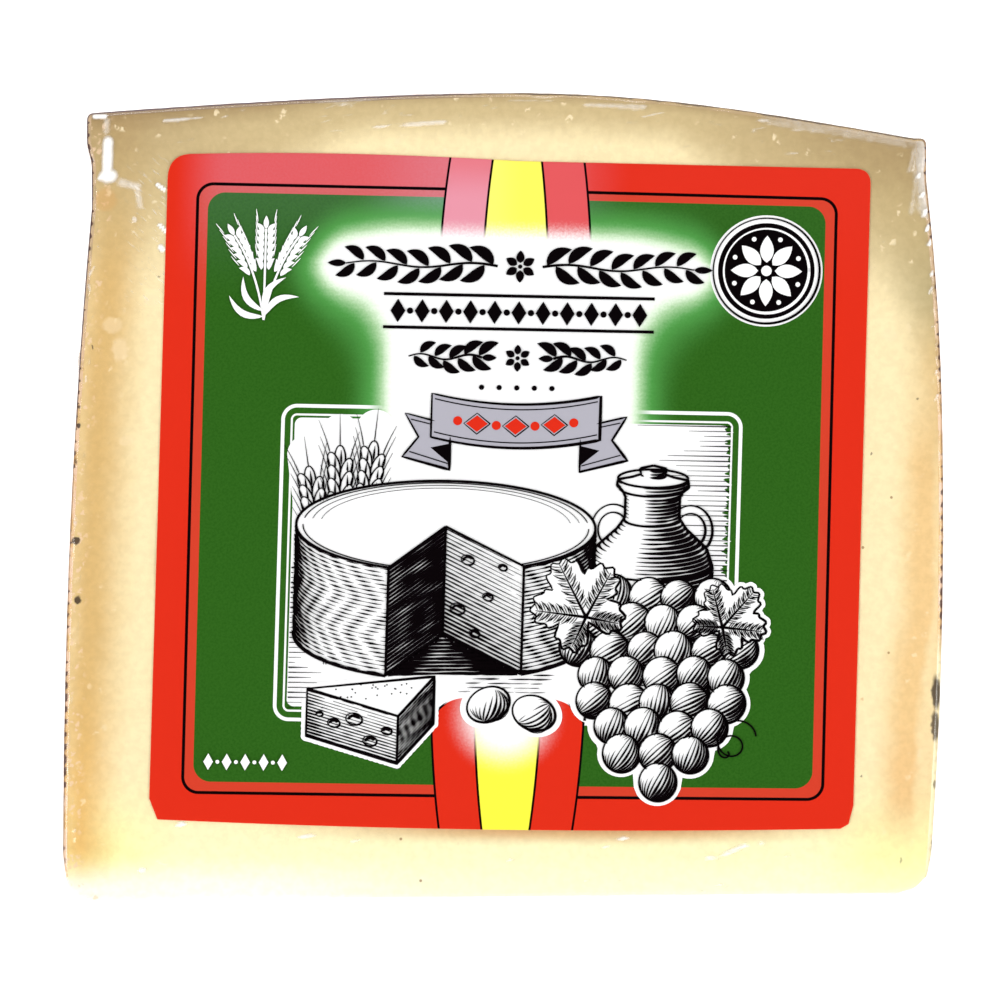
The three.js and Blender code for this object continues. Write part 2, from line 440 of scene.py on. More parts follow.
class Wire:
    """One output of a material's node. Arithmetic on it adds Math nodes."""

    def __init__(self, finish, socket):
        self.finish = finish
        self.socket = socket

    __add__ = __radd__ = maths("ADD")
    __sub__ = maths("SUBTRACT")
    __rsub__ = maths("SUBTRACT", turned=True)
    __mul__ = __rmul__ = maths("MULTIPLY")
    __truediv__ = maths("DIVIDE")
    __pow__ = maths("POWER")
    __abs__ = maths("ABSOLUTE")
    least = maths("MINIMUM")
    most = maths("MAXIMUM")
    root = maths("SQRT")

    def __neg__(self):
        return self * -1.0

    def clamped(self):
        settings = {"operation": "ADD", "use_clamp": True}
        return self.finish.node("ShaderNodeMath", settings, {0: self, 1: 0.0})

    def ramp(self, low, high):
        """0 at low and 1 at high, eased, also where low is the larger."""
        settings = {"interpolation_type": "SMOOTHSTEP"}
        if low < high:
            return self.finish.node("ShaderNodeMapRange", settings, {0: self, 1: low, 2: high})
        return 1 - self.finish.node("ShaderNodeMapRange", settings, {0: self, 1: high, 2: low})


class Finish:
    """A material made of nodes."""

    def __init__(self, name):
        self.material = bpy.data.materials.new(name)
        self.material.use_nodes = True
        self.tree = self.material.node_tree
        self.tree.nodes.clear()

    def node(self, kind, settings=None, sockets=None, output=0):
        """Adds a node of a type, with its settings first and then the values or links of its
        sockets, and gives the wire of one output."""
        made = self.tree.nodes.new(kind)
        for name, value in (settings or {}).items():
            setattr(made, name, value)
        for key, value in (sockets or {}).items():
            if isinstance(value, Wire):
                self.tree.links.new(value.socket, made.inputs[key])
            else:
                made.inputs[key].default_value = value
        return Wire(self, made.outputs[output]) if made.outputs else None

    def stored(self, name, output="Fac"):
        return self.node("ShaderNodeAttribute", {"attribute_name": name}, output=output)

    def parts(self, vector):
        """The three numbers of a vector."""
        first = self.node("ShaderNodeSeparateXYZ", sockets={0: vector})
        return [Wire(self, output) for output in first.socket.node.outputs]

    def vector(self, x, y, z=0.0):
        return self.node("ShaderNodeCombineXYZ", sockets={0: x, 1: y, 2: z})

    def place(self):
        """The place on the piece, in mm."""
        object_place = self.node("ShaderNodeTexCoord", output="Object")
        return self.stretched(object_place, (1 / MM,) * 3)

    def on_face(self):
        """The place as u, v and the height above the labelled cut face."""
        x, y, z = self.parts(self.place())
        y, z = y - float(PACK_SHIFT[1]), z - float(PACK_SHIFT[2])
        v = y * math.cos(WEDGE_ANGLE) + z * math.sin(WEDGE_ANGLE) - AXIS_TO_TIP
        height = z * math.cos(WEDGE_ANGLE) - y * math.sin(WEDGE_ANGLE)
        return x - float(PACK_SHIFT[0]), v, height

    def marks(self, places, listed):
        """Cover of oval marks, each given by its middle u, v, its half width and height and
        how strong it is: the distance from its middle in shares of its half sizes."""
        cover = 0.0
        for u, v, half_width, half_height, strength in listed:
            scale = (1 / half_width, 1 / half_height, 0.0)
            middle = (-u / half_width, -v / half_height, 0.0)
            settings = {"operation": "MULTIPLY_ADD"}
            shares = self.node("ShaderNodeVectorMath", settings, {0: places, 1: scale, 2: middle})
            settings = {"operation": "LENGTH"}
            reach = self.node("ShaderNodeVectorMath", settings, {0: shares}, "Value")
            cover = (reach.ramp(1.3, 0.7) * strength).most(cover)
        return cover

    def stretched(self, vector, by):
        settings = {"operation": "MULTIPLY"}
        return self.node("ShaderNodeVectorMath", settings, {0: vector, 1: by})

    def moved(self, vector, by):
        """A vector with one number added to each of its parts."""
        settings = {"operation": "ADD"}
        return self.node("ShaderNodeVectorMath", settings, {0: vector, 1: self.vector(by, by, by)})

    def noise(self, place, size, detail=2.0, roughness=0.5):
        """Smooth noise of 0 to 1 whose lumps are about size mm."""
        sockets = {"Vector": place, "Scale": 1 / size, "Detail": detail, "Roughness": roughness}
        return self.node("ShaderNodeTexNoise", None, sockets)

    def cells(self, place, size):
        """Distance to the nearest of scattered points, in shares of size mm."""
        sockets = {"Vector": place, "Scale": 1 / size}
        return self.node("ShaderNodeTexVoronoi", None, sockets, "Distance")

    def mixed(self, factor, first, second, blend="MIX"):
        """A colour between two, each a wire or three numbers."""
        settings = {"data_type": "RGBA", "blend_type": blend, "clamp_factor": True}
        sides = [side if isinstance(side, Wire) else (*side, 1.0) for side in (first, second)]
        sockets = {0: factor, 6: sides[0], 7: sides[1]}
        return self.node("ShaderNodeMix", settings, sockets, 2)

    def layered(self, base, *layers):
        """Colours laid over a base one after the other, each with its own cover."""
        for cover, tint in layers:
            base = self.mixed(cover, base, tint)
        return base

    def bump(self, height, distance, strength=1.0):
        sockets = {"Height": height, "Distance": distance * MM, "Strength": strength}
        return self.node("ShaderNodeBump", None, sockets)

    def coated(self, **sockets):
        """A Principled shader: its sockets' names with spaces as underscores."""
        named = {key.replace("_", " "): value for key, value in sockets.items()}
        return self.node("ShaderNodeBsdfPrincipled", None, named)

    def done(self, shader):
        self.node("ShaderNodeOutputMaterial", None, {"Surface": shader})
        return self.material


def box_distance(a, b, box, corner):
    """Distance from a place to a box with round corners, negative inside it."""
    left, right, bottom, top = box
    beside = abs(a - (left + right) / 2) - ((right - left) / 2 - corner)
    above = abs(b - (bottom + top) / 2) - ((top - bottom) / 2 - corner)
    outside = (beside.most(0.0) ** 2 + above.most(0.0) ** 2).root()
    return outside + beside.most(above).least(0.0) - corner


def inside_of(distance, softness=0.06):
    """1 inside an outline and 0 outside it."""
    return distance.ramp(softness / 2, -softness / 2)


def line_at(distance, width, softness=0.06):
    """A printed line along the places that lie at distance 0."""
    return abs(distance).ramp((width + softness) / 2, (width - softness) / 2)


# Cheese

RIND_GAP = 0.03  # from the film's outside to the rind
PASTE_IN_RIND = 0.22  # how far the paste reaches into the rind
DARK_MARK = srgb(36, 6, 2)


def packed_side(line, v):
    """A side line's u at a v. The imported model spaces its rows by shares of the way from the
    thin edge to the rind, so the line is read at that share."""
    across = line(v)
    for _ in range(4):
        across = line(v / (rind_radius(across) - AXIS_TO_TIP) * FACE_LENGTH)
    return across


def edge_distances(points):
    """How far each point lies from the left side, the right side and the rind, and its v."""
    radius = np.hypot(points[:, 1], points[:, 2])
    along = radius - AXIS_TO_TIP
    from_left = points[:, 0] - packed_side(left_line, along)
    from_right = packed_side(right_line, along) - points[:, 0]
    from_rind = rind_radius(points[:, 0]) - radius
    return np.column_stack((from_left, from_right, from_rind)), along


# Marks on the labelled face: middle u, v, half width, half height, strength
DARK_MARKS = (
    (-48.75, 56.1, 0.19, 0.19, 0.8),
    (-48.75, 54.0, 0.28, 0.28, 0.9),
    (-49.05, 49.9, 0.18, 0.34, 0.7),
    (-49.05, 40.8, 0.45, 0.42, 0.9),
    (-48.85, 34.0, 0.40, 0.44, 0.9),
    (-47.2, 62.95, 0.12, 0.30, 0.7),
    (49.5, 23.4, 0.50, 1.90, 0.9),
    (49.4, 19.6, 0.45, 1.75, 0.85),
    (49.35, 12.9, 0.20, 0.50, 0.6),
    (49.15, 5.8, 0.22, 0.95, 0.7),
    (48.85, 2.9, 0.20, 0.60, 0.6),
    (-39.5, 71.1, 0.13, 0.13, 0.6),
    (47.3, 57.0, 0.13, 0.13, 0.6),
    (42.05, 50.75, 0.13, 0.13, 0.6),
    (41.0, 13.85, 0.13, 0.13, 0.6),
    (45.5, 4.25, 0.16, 0.30, 0.45),
)
AMBER_PATCHES = (
    (-45.7, 79.9, 1.3, 1.3, 0.55),
    (-48.45, 60.4, 0.25, 0.25, 0.8),
    (41.0, 22.6, 0.20, 0.20, 0.5),
)
PALE_PATCHES = (
    (-44.0, 62.7, 0.9, 1.3, 0.45),
    (-44.9, 65.5, 1.1, 0.9, 0.40),
    (-40.3, 68.4, 0.9, 0.7, 0.40),
    (-43.2, 52.3, 0.8, 0.6, 0.30),
    (44.2, 64.4, 0.9, 0.7, 0.35),
)


def paste_finish(colours):
    """Cut paste: ivory, amber along the flat sides, tan under the rind, paler at the thin edge and
    made whiter there still by painted glare, mottled, with pale flecks, fine scratches from the
    wire, a few pinholes and a painted shadow under the label's lower edge."""
    finish = Finish("cheese_paste")
    place = finish.place()
    from_left, from_right, from_rind = finish.parts(finish.stored("edges", "Vector"))
    along = finish.stored("along")

    u, v, height = finish.on_face()
    wander = finish.noise(place, 0.5, 1.0)
    warped = finish.moved(place, wander * 0.9)
    on_face = finish.moved(finish.vector(u, v), (wander - 0.5) * 0.5)
    drift = (finish.noise(place, 7.0, 2.0) - 0.5) * 3.0
    fine_drift = (finish.noise(place, 1.6, 1.0, 0.6) - 0.5) * 0.9
    left = from_left + drift * 0.5 + fine_drift
    right = from_right + drift * 0.5 + fine_drift
    rind = from_rind + drift * 0.35 + fine_drift
    low = along.ramp(30.0, 6.0)
    left_band = (left + low * 1.3).ramp(8.6, 2.6) * (0.72 + 0.28 * left.ramp(0.4, 2.4))
    inner = right - along.ramp(36.0, 24.0) * 1.5
    right_low = inner.ramp(6.3, 2.4) * (0.42 + 0.58 * inner.ramp(0.2, 1.5))
    right_low = right_low * along.ramp(60.0, 48.0)
    reach = 5.5 + 0.035 * (along - 62.0).most(0.0) ** 2
    right_high = along.ramp(42.0, 56.0) * 0.72 + along.ramp(54.0, 68.0) * 0.28
    right_high = right_high * (right / reach).ramp(1.0, 0.0)

    tip = finish.mixed(left.least(right).ramp(15.0, 5.0), colours.tip, srgb(255, 249, 176))
    # Painted glare: near the thin edge, more to the left, the paste goes almost white as if washed
    # out by bright light.
    painted_glare = (along + fine_drift).ramp(5.2, 0.5) * (0.25 + 0.55 * u.ramp(-5.0, -30.0))
    amber = finish.mixed(low * 0.85, colours.amber, srgb(234, 186, 104))
    low_amber = finish.mixed(along.ramp(22.0, 15.0), srgb(239, 202, 141), srgb(238, 198, 137))
    high_tint = finish.mixed(along.ramp(58.0, 70.0), srgb(222, 186, 124), srgb(188, 171, 125))
    middle = left.ramp(7.0, 33.0) * right.ramp(9.0, 32.0)
    under_rind = (rind / (3.6 - 2.6 * middle)).ramp(6.1, 1.8)
    corner = rind.ramp(9.0, 1.5) * left.least(right * 0.7 + 1.0).ramp(22.0, 3.0)
    crust = from_rind.ramp(2.9, 1.4) * u.ramp(-18.0, -28.0) * 0.35
    crust = crust + from_rind.ramp(1.7, 0.3) * 0.4
    below_label = 7.65 - u * 0.011 + u * u * 0.0005 - along
    shadow = below_label.ramp(2.0, 0.1) * below_label.ramp(-3.0, -1.0)
    shadow = shadow * u.ramp(-34.0, 2.0) * u.ramp(48.0, 16.0) * 0.8
    base = finish.layered(
        colours.heart,
        ((along + drift).ramp(16.0, 2.0), tip),
        (painted_glare, (1.0, 1.0, 0.94)),
        (left_band * along.ramp(0.5, 6.0), amber),
        (right_low * along.ramp(4.0, 12.0), low_amber),
        (right_high, high_tint),
        (under_rind * 0.8, colours.tan),
        (corner * (0.45 + 0.15 * u.ramp(-30.0, 30.0)), colours.corner),
        (crust, colours.corner),
        (shadow, srgb(206, 150, 92)),
    )
    mottle = finish.noise(place, 0.9, 3.0, 0.65)
    tone = finish.mixed(mottle.ramp(0.32, 0.68), (0.955, 0.945, 0.93), (1.03, 1.03, 1.03))
    base = finish.mixed(1.0, base, tone, "MULTIPLY")

    sides = left_band.most(right_low).most(right_high)
    near_rind = (from_rind.ramp(26.0, 5.0) + sides * 0.6).clamped()
    patch = finish.noise(place, 2.1, 1.0)
    flecks = finish.cells(warped, 1.5).ramp(0.30, 0.14) * patch.ramp(0.50, 0.66) * near_rind
    crumbs = finish.cells(warped, 0.8).ramp(0.42, 0.25) * patch.ramp(0.44, 0.54)
    pinholes = finish.cells(place, 5.6).ramp(0.036, 0.024)
    shown = height.ramp(-1.2, -0.5)
    base = finish.layered(
        base,
        (flecks * 0.75, colours.fleck),
        (crumbs * from_left.ramp(2.8, 1.4) * 0.7, srgb(240, 208, 172)),
        (finish.marks(on_face, PALE_PATCHES), srgb(250, 226, 184)),
        (pinholes * 0.75, srgb(150, 108, 58)),
        (finish.marks(on_face, AMBER_PATCHES) * shown, srgb(214, 166, 100)),
        (finish.marks(on_face, DARK_MARKS) * shown, DARK_MARK),
    )

    strands = finish.stretched(place, (0.35, 1.0, 1.0))
    grain = finish.noise(strands, 0.7, 1.0, 0.6)
    shader = finish.coated(
        Base_Color=base,
        Roughness=0.55,
        Specular_IOR_Level=0.3,
        Normal=finish.bump(grain, 0.04, 0.6),
    )
    return finish.done(shader)


def make_paste(sizes, colours):
    """The paste: a closed wedge inside the film and the rind, its cut faces a little uneven."""
    gap = millimetres(sizes.film_gap)
    under_rind = RIND_GAP + millimetres(sizes.rind_thickness) - PASTE_IN_RIND
    inset = {"face": gap, "side": under_rind, "rind": under_rind, "tip": gap}
    steps = (
        lattice_steps(np.linspace(0, 1, 150)),
        lattice_steps(np.linspace(0, 1, 140)),
        lattice_steps(np.linspace(0, 1, 13)),
    )
    points, out, _, squares = wedge_body(steps, inset, 0.12)
    edges, along = edge_distances(points)
    clear = np.minimum(np.minimum(edges.min(1), along) - 1.0, 6.0) / 6.0
    unevenness = 0.03 * ripple(points, 9.0, 3) + 0.02 * ripple(points, 3.2, 4)
    points = points + out * (np.clip(clear, 0, 1) * (unevenness - 0.04) - 0.015)[:, None]
    piece = new_piece("cheese_paste", points, [squares], paste_finish(colours))
    keep_values(piece, "edges", edges)
    keep_values(piece, "along", along)
    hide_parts("film_wrapped_cheese")


def rind_path(inset):
    """The rind's outline in u and radius, from the left end of the thin edge up the left
    side, round two corners and down the right side: three lines joined by quadratic arcs.
    Gives the places, the directions out and which stretch each belongs to."""
    corner = 0.8
    start = AXIS_TO_TIP + 2.2
    side_steps = 300
    outer_steps = 150
    arc_steps = 7
    left_end, right_end = left_line(FACE_LENGTH) + inset, right_line(FACE_LENGTH) - inset
    left_top = np.array((left_end, rind_radius(left_end) - inset))
    right_top = np.array((right_end, rind_radius(right_end) - inset))
    left_radius = np.linspace(start, left_top[1] - corner, side_steps)
    left_u = packed_side(left_line, left_radius - AXIS_TO_TIP) + inset
    left = np.column_stack((left_u, left_radius))
    right_radius = np.linspace(right_top[1] - corner, start, side_steps)
    right_u = packed_side(right_line, right_radius - AXIS_TO_TIP) - inset
    right = np.column_stack((right_u, right_radius))
    outer_u = np.linspace(left_top[0] + corner, right_top[0] - corner, outer_steps)
    outer = np.column_stack((outer_u, rind_radius(outer_u) - inset))
    share = np.linspace(0, 1, arc_steps + 2)[1:-1, None]
    left_arc = arc_between(left[-1], left_top, outer[0], share)
    right_arc = arc_between(outer[-1], right_top, right[0], share)
    path = np.concatenate((left, left_arc, outer, right_arc, right))
    ahead = np.gradient(path, axis=0)
    out = np.column_stack((-ahead[:, 1], ahead[:, 0]))
    out /= np.linalg.norm(out, axis=1)[:, None]
    number = np.arange(len(path))
    first, last = side_steps - 2, side_steps + arc_steps + 4
    outer_share = step_up(number, first, last) * step_up(len(path) - number, first, last)
    return path, out, outer_share


def imprint(radius, angle, across, outer_share, sizes):
    """The mould's imprint, 0 in the grooves and 1 on the ridges. On the flat sides it is a
    net of small squares laid along the labelled face: two rows of round bars by absolute
    sines. Round the outer side it is a plait: slanted strands that turn the other way in
    each band."""
    pitch = millimetres(sizes.imprint_pitch)
    up = radius * np.cos(WEDGE_ANGLE - angle)
    deep = radius * np.sin(WEDGE_ANGLE - angle)
    wobble = 0.25 * np.sin(up / 5.3 + deep / 7.1)
    first = np.abs(np.sin(math.pi * (up + wobble) / pitch))
    second = np.abs(np.sin(math.pi * (deep - wobble) / pitch))
    net = np.minimum(first, 0.25 + 0.75 * second) ** 0.6

    band = millimetres(sizes.plait_width)
    round_way = radius * angle
    place = across / band
    lean = np.abs((place % 2) - 1) * band * 0.9
    strand = np.abs(np.sin(math.pi * (round_way + lean) / (band * 0.34)))
    seam = np.abs(np.sin(math.pi * place)) ** 0.35
    plait = strand**0.5 * (0.35 + 0.65 * seam)
    return net * (1 - outer_share) + plait * outer_share


def rind_finish(colours):
    """Rind: buff ridges, grooves almost black brown, a pale pinkish inside where it was cut,
    patches rubbed darker and lighter, and painted glare low on the right that pales the cut edge."""
    finish = Finish("cheese_rind")
    place = finish.place()
    names = ("relief", "depth", "dash", "outer", "low")
    relief, depth, dash, outer, low = (finish.stored(name) for name in names)
    u, v, height = finish.on_face()
    patch = finish.noise(place, 6.0, 3.0, 0.6)
    fine = finish.noise(place, 0.5, 3.0, 0.6)
    ridge = finish.mixed(patch.ramp(0.35, 0.7), colours.ridge, srgb(168, 124, 78))
    dark = (relief + (fine - 0.5) * 0.5 + (patch - 0.5) * 0.5).ramp(0.75, 0.30)
    skin = finish.mixed(dark * 0.85, ridge, colours.groove)

    spots = finish.noise(place, 2.6, 1.0, 0.6)
    off_tip = v.ramp(2.5, 6.0)
    # Painted glare: low on the right the rind's cut edge is painted pale and its dark rim and
    # dashes fade out, as if washed out by bright light.
    rind_glare_low_right = u.ramp(30.0, 40.0) * v.ramp(32.0, 26.0)
    glare_fade = 1 - 0.85 * rind_glare_low_right
    upper_left = u.ramp(0.0, -10.0) * v.ramp(50.0, 58.0)
    low_left = u.ramp(-20.0, -40.0) * v.ramp(40.0, 20.0)
    pinkish = (spots + (fine - 0.5) * 0.4).ramp(0.42, 0.56) * (1 - 0.8 * outer)
    uneven = ((fine - 0.5) * 0.5 + (spots - 0.5) * 0.8) * (1 - 0.75 * upper_left)
    rim = (depth + uneven).ramp(0.42, 0.18) * glare_fade * (0.6 + 0.4 * outer.most(upper_left))
    marked = (dash + low_left * 0.3 + (fine - 0.5) * 0.6).ramp(0.36, 0.60)
    marked = marked * depth.ramp(0.95, 0.4) * glare_fade
    line = finish.mixed(outer, srgb(120, 84, 78), srgb(112, 98, 84))
    cut = finish.layered(
        finish.mixed(outer.most(1 - low), srgb(226, 184, 120), srgb(186, 160, 118)),
        (pinkish * (0.35 + 0.65 * low), colours.bloom),
        (rind_glare_low_right, srgb(248, 232, 186)),
        (outer * u.ramp(5.0, -15.0) * 0.8, srgb(150, 128, 108)),
        (rim * off_tip, finish.mixed(upper_left, line, srgb(100, 85, 95))),
        (marked * off_tip * 0.9, finish.mixed(outer, srgb(70, 42, 44), colours.groove)),
    )
    on_face = finish.moved(finish.vector(u, v), (fine - 0.5) * 0.4)
    shown = height.ramp(-1.2, -0.5)
    base = finish.layered(
        skin,
        (depth.ramp(0.0, 0.06), cut),
        (finish.marks(on_face, DARK_MARKS) * shown, DARK_MARK),
    )
    shader = finish.coated(
        Base_Color=base,
        Roughness=0.62,
        Specular_IOR_Level=0.3,
        Normal=finish.bump(fine, 0.05, 0.5),
    )
    return finish.done(shader)


def make_rind(sizes, colours):
    """The rind: a shell round both flat sides and the outer side. Its outside is a grid along
    the outline and round the wheel's angle, in relief. Its inside is coarser."""
    gap = millimetres(sizes.film_gap)
    path, out, outer_share = rind_path(RIND_GAP)
    rows = 110
    coarse_rows = 9
    count = len(path)
    thickness = millimetres(sizes.rind_thickness)

    def sheet(places, row_count):
        """Rows at equal angles between the two cut faces, each a gap inside its own face."""
        inset_angle = np.arcsin(np.clip(gap / places[:, 1], 0, 1))
        share = np.linspace(0, 1, row_count)[:, None]
        angle = inset_angle + (WEDGE_ANGLE - 2 * inset_angle) * share
        drop = FACE_LENGTH + AXIS_TO_TIP - rind_radius(places[:, 0])
        near_corner = step_up(places[:, 1] - AXIS_TO_TIP + drop, LEFT_EAR_FROM, LEFT_EAR_TO)
        ear = LEFT_EAR * share * near_corner * step_up(-places[:, 0], 30.0, 46.0)
        return np.stack(np.broadcast_arrays(places[:, 0] - ear, places[:, 1]), -1), angle

    def in_space(places, angle):
        turned = places[..., 1:] * polar(angle)
        return np.concatenate((places[..., :1], turned), -1).reshape(-1, 3)

    outside, angle = sheet(path, rows)
    relief = imprint(outside[..., 1], angle, outside[..., 0], outer_share, sizes)
    depth = millimetres(sizes.imprint_depth) * (1 - outer_share)
    depth = depth + millimetres(sizes.plait_depth) * outer_share
    lumps = ripple(np.dstack((outside, angle * outside[..., 1])), 14.0, 8) * 0.06
    at_cut = np.minimum(angle, WEDGE_ANGLE - angle) * outside[..., 1]
    shallow = 0.1 + 0.9 * step_up(at_cut, 0.1, 1.6)
    sink = ((1 - relief) * depth + np.abs(lumps)) * shallow
    sink = sink + 0.3 * step_up(-path[:, 1], -(AXIS_TO_TIP + 5.5), -(AXIS_TO_TIP + 2.2))
    outer_points = in_space(outside - out * sink[..., None], angle)
    inner_points = in_space(*sheet(path - out * thickness, coarse_rows))

    outer_grid = np.arange(rows * count).reshape(rows, count)
    inner_grid = np.arange(coarse_rows * count).reshape(coarse_rows, count) + rows * count

    def strip(first, second):
        return np.column_stack((first[:-1], second[:-1], second[1:], first[1:]))

    quads = np.concatenate(
        (
            grid_squares(outer_grid),
            grid_squares(inner_grid, True),
            strip(outer_grid[-1], inner_grid[-1]),
            strip(inner_grid[0], outer_grid[0]),
        )
    )
    caps = [
        np.concatenate((outer_grid[::-1, 0], inner_grid[:, 0]))[::-1],
        np.concatenate((outer_grid[:, -1], inner_grid[::-1, -1]))[::-1],
    ]
    points = np.concatenate((outer_points, inner_points))
    finish = rind_finish(colours)
    piece = new_piece("cheese_rind", points, [quads, *caps], finish, 60.0)

    along = path[:, 1]
    pitch = millimetres(sizes.imprint_pitch)
    dashes = np.abs(np.sin(math.pi * (along + 0.25 * np.sin(along / 5.3)) / pitch))
    uneven = ripple(np.column_stack((path, 0 * along)), 9.0, 12) * 0.4
    dash = (1 - dashes * 1.1 + uneven) * (1 - 0.75 * outer_share)
    sheets = rows + coarse_rows
    values = {
        "relief": np.concatenate((relief.ravel(), np.ones(len(inner_points)))),
        "depth": np.repeat((0.0, 1.0), (len(outer_points), len(inner_points))),
        "dash": np.concatenate((np.tile(dash, rows), np.tile(dash * 0.2, coarse_rows))),
        "outer": np.tile(outer_share, sheets),
        "low": np.tile(step_up(-along, -78.0, -50.0), sheets),
    }
    for name, stored in values.items():
        keep_values(piece, name, stored)
    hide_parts("film_wrapped_cheese")


# Film

# Creases that show on the labelled face, their white partly a painted highlight in place of
# glints: u, v, length, direction in degrees, width, and how white each is
FILM_CREASES = (
    (-45.4, 84.7, 3.6, 88, 1.35, 1.0),
    (-45.3, 82.6, 0.5, 0, 1.8, 1.0),
    (-46.2, 82.4, 0.2, 60, 0.8, 0.8),
    (-45.5, 88.3, 1.2, 85, 1.4, 0.35),
    (-46.3, 89.4, 1.2, 0, 0.55, 1.0),
    (-42.9, 81.6, 2.0, -14, 1.6, 0.42),
    (-41.8, 79.9, 1.6, -80, 1.4, 0.40),
    (-42.3, 77.6, 0.2, -75, 0.8, 0.55),
    (-39.3, 81.3, 1.0, -38, 0.55, 1.0),
    (-39.1, 76.6, 1.1, -48, 0.5, 1.0),
    (-39.2, 74.3, 0.4, -48, 0.75, 1.0),
    (-37.6, 89.0, 2.6, 5, 0.6, 0.55),
    (-35.8, 89.2, 2.0, 5, 0.5, 0.45),
    (-37.1, 8.3, 0.5, 0, 0.7, 1.0),
    (-41.4, 3.1, 0.2, 0, 0.8, 0.8),
    (-22.4, 7.0, 1.6, 8, 0.6, 0.7),
    (13.3, 6.7, 0.7, 0, 0.6, 0.8),
    (26.5, 5.4, 2.6, 25, 0.6, 0.7),
    (23.8, 4.5, 0.9, 0, 0.6, 0.8),
    (46.7, 84.4, 2.6, 78, 1.0, 0.34),
    (46.9, 80.2, 3.6, 82, 1.3, 0.32),
    (48.2, 84.9, 2.0, 88, 0.6, 0.45),
    (47.5, 82.6, 0.5, 66, 0.5, 1.0),
    (47.9, 80.4, 0.5, 66, 0.5, 1.0),
    (48.2, 78.4, 0.6, 66, 0.5, 1.0),
    (48.5, 76.6, 0.5, 66, 0.5, 0.9),
    (48.8, 75.0, 0.5, 66, 0.5, 0.9),
    (49.0, 71.4, 0.4, 66, 0.5, 0.7),
    (29.6, 88.9, 0.8, -12, 0.6, 0.5),
    (-9.0, 88.6, 5.0, 4, 0.8, 0.5),
    (-14.0, 88.2, 2.0, 4, 0.5, 0.55),
    (-18.0, 91.2, 7.0, 3, 0.7, 0.3),
    (13.0, 90.6, 7.0, -2, 0.9, 0.4),
    (3.0, 91.2, 5.0, 0, 0.6, 0.3),
)


def capsule_distance(u, v, crease):
    """Distance from each place to a short straight line, in shares of the crease's width."""
    at_u, at_v, run, direction, width, _ = crease
    turn = math.radians(direction)
    along = (u - at_u) * math.cos(turn) + (v - at_v) * math.sin(turn)
    beside = (v - at_v) * math.cos(turn) - (u - at_u) * math.sin(turn)
    past = np.clip(np.abs(along) - run / 2, 0, None)
    return np.hypot(past, beside) / (width / 2)


def scattered_creases(seed):
    """Small creases drawn at random: crumples along the top and marks down both sides, their white
    partly a painted highlight in place of glints.
    """
    draw = np.random.default_rng(seed)
    creases = []
    for _ in range(60):
        u = draw.uniform(-42, 44)
        creases.append((u, rind_radius(u) - AXIS_TO_TIP - draw.gamma(2.0, 0.9) - 0.4,
                        draw.uniform(0.6, 3.2), draw.normal(0, 22), draw.uniform(0.25, 0.7),
                        draw.uniform(0.1, 0.4)))
    for v in np.arange(50.0, 86.0, 1.9):
        v = v + draw.normal(0, 0.4)
        creases.append((right_line(v) - draw.uniform(0.4, 1.3), v, draw.uniform(0.3, 0.8),
                        draw.normal(62, 22), draw.uniform(0.35, 0.5), draw.uniform(0.15, 0.55)))
    for v in np.arange(5.0, 82.0, 1.7):
        v = v + draw.normal(0, 0.4)
        creases.append((left_line(v) + draw.uniform(0.4, 1.6), v, draw.uniform(0.3, 1.2),
                        draw.normal(75, 30), draw.uniform(0.4, 0.6), draw.uniform(0.1, 0.45)))
    for _ in range(16):
        creases.append((draw.uniform(-46, 47), draw.uniform(1.0, 7.5), draw.uniform(0.2, 1.4),
                        draw.normal(0, 30), draw.uniform(0.4, 0.6), draw.uniform(0.15, 0.6)))
    return creases


def film_spacing(stretches):
    """Shares from 0 to 1 from stretches of step size up to each end, in mm."""
    marks = [0.0]
    for end, step in stretches:
        count = max(1, round((end - marks[-1]) / step))
        marks.extend(np.linspace(marks[-1], end, count + 1)[1:])
    return np.array(marks) / marks[-1]


def film_finish(colours):
    """Clear film: see-through, with reflections that grow to the sides, and milk-white where it is
    gathered or creased; on the creases this white is also a painted highlight in place of glints
    of light."""
    finish = Finish("clear_film")
    place = finish.place()
    haze_and_glint = finish.stored("haze_and_glint")
    patchy = finish.noise(place, 0.9, 2.0, 0.65)
    u, v, _ = finish.on_face()
    run = finish.vector((u - v * 0.95) * 0.16, u * 0.95 + v)
    beside_label = u.ramp(-37.5, -39.0) * u.ramp(-44.0, -42.0)
    scratches = finish.noise(run, 0.42, 2.0, 0.6).ramp(0.57, 0.70) * beside_label
    scratches = scratches * v.ramp(64.0, 69.0) * v.ramp(87.0, 83.0) * 0.25
    patches = (patchy - 0.5) * (0.2 + 0.4 * haze_and_glint.ramp(0.45, 0.8)) * haze_and_glint.ramp(0.02, 0.2)
    # White cover where the film is gathered, creased or scratched, partly a painted highlight in
    # place of glints.
    milky_and_glint = (haze_and_glint + patches).ramp(0.12, 0.78)
    milky_and_glint = (milky_and_glint + scratches + (patchy - 0.68).clamped() * 0.4).clamped()
    wrinkles = finish.bump(finish.noise(place, 3.0, 0.0), 0.25, 0.5)
    sockets = {"Blend": 0.5, "Normal": wrinkles}
    facing = finish.node("ShaderNodeLayerWeight", None, sockets, "Facing")
    shine = facing**5 * 0.6 + 0.04
    clear = finish.node("ShaderNodeBsdfTransparent")
    skin = finish.coated(
        Base_Color=(*colours.haze_and_glint, 1.0),
        Metallic=(1 - milky_and_glint * 6.0).clamped(),
        Roughness=0.17,
        Normal=wrinkles,
    )
    shown = shine + milky_and_glint * (1 - shine)
    shader = finish.node("ShaderNodeMixShader", None, {0: shown, 1: clear, 2: skin})
    return finish.done(shader)


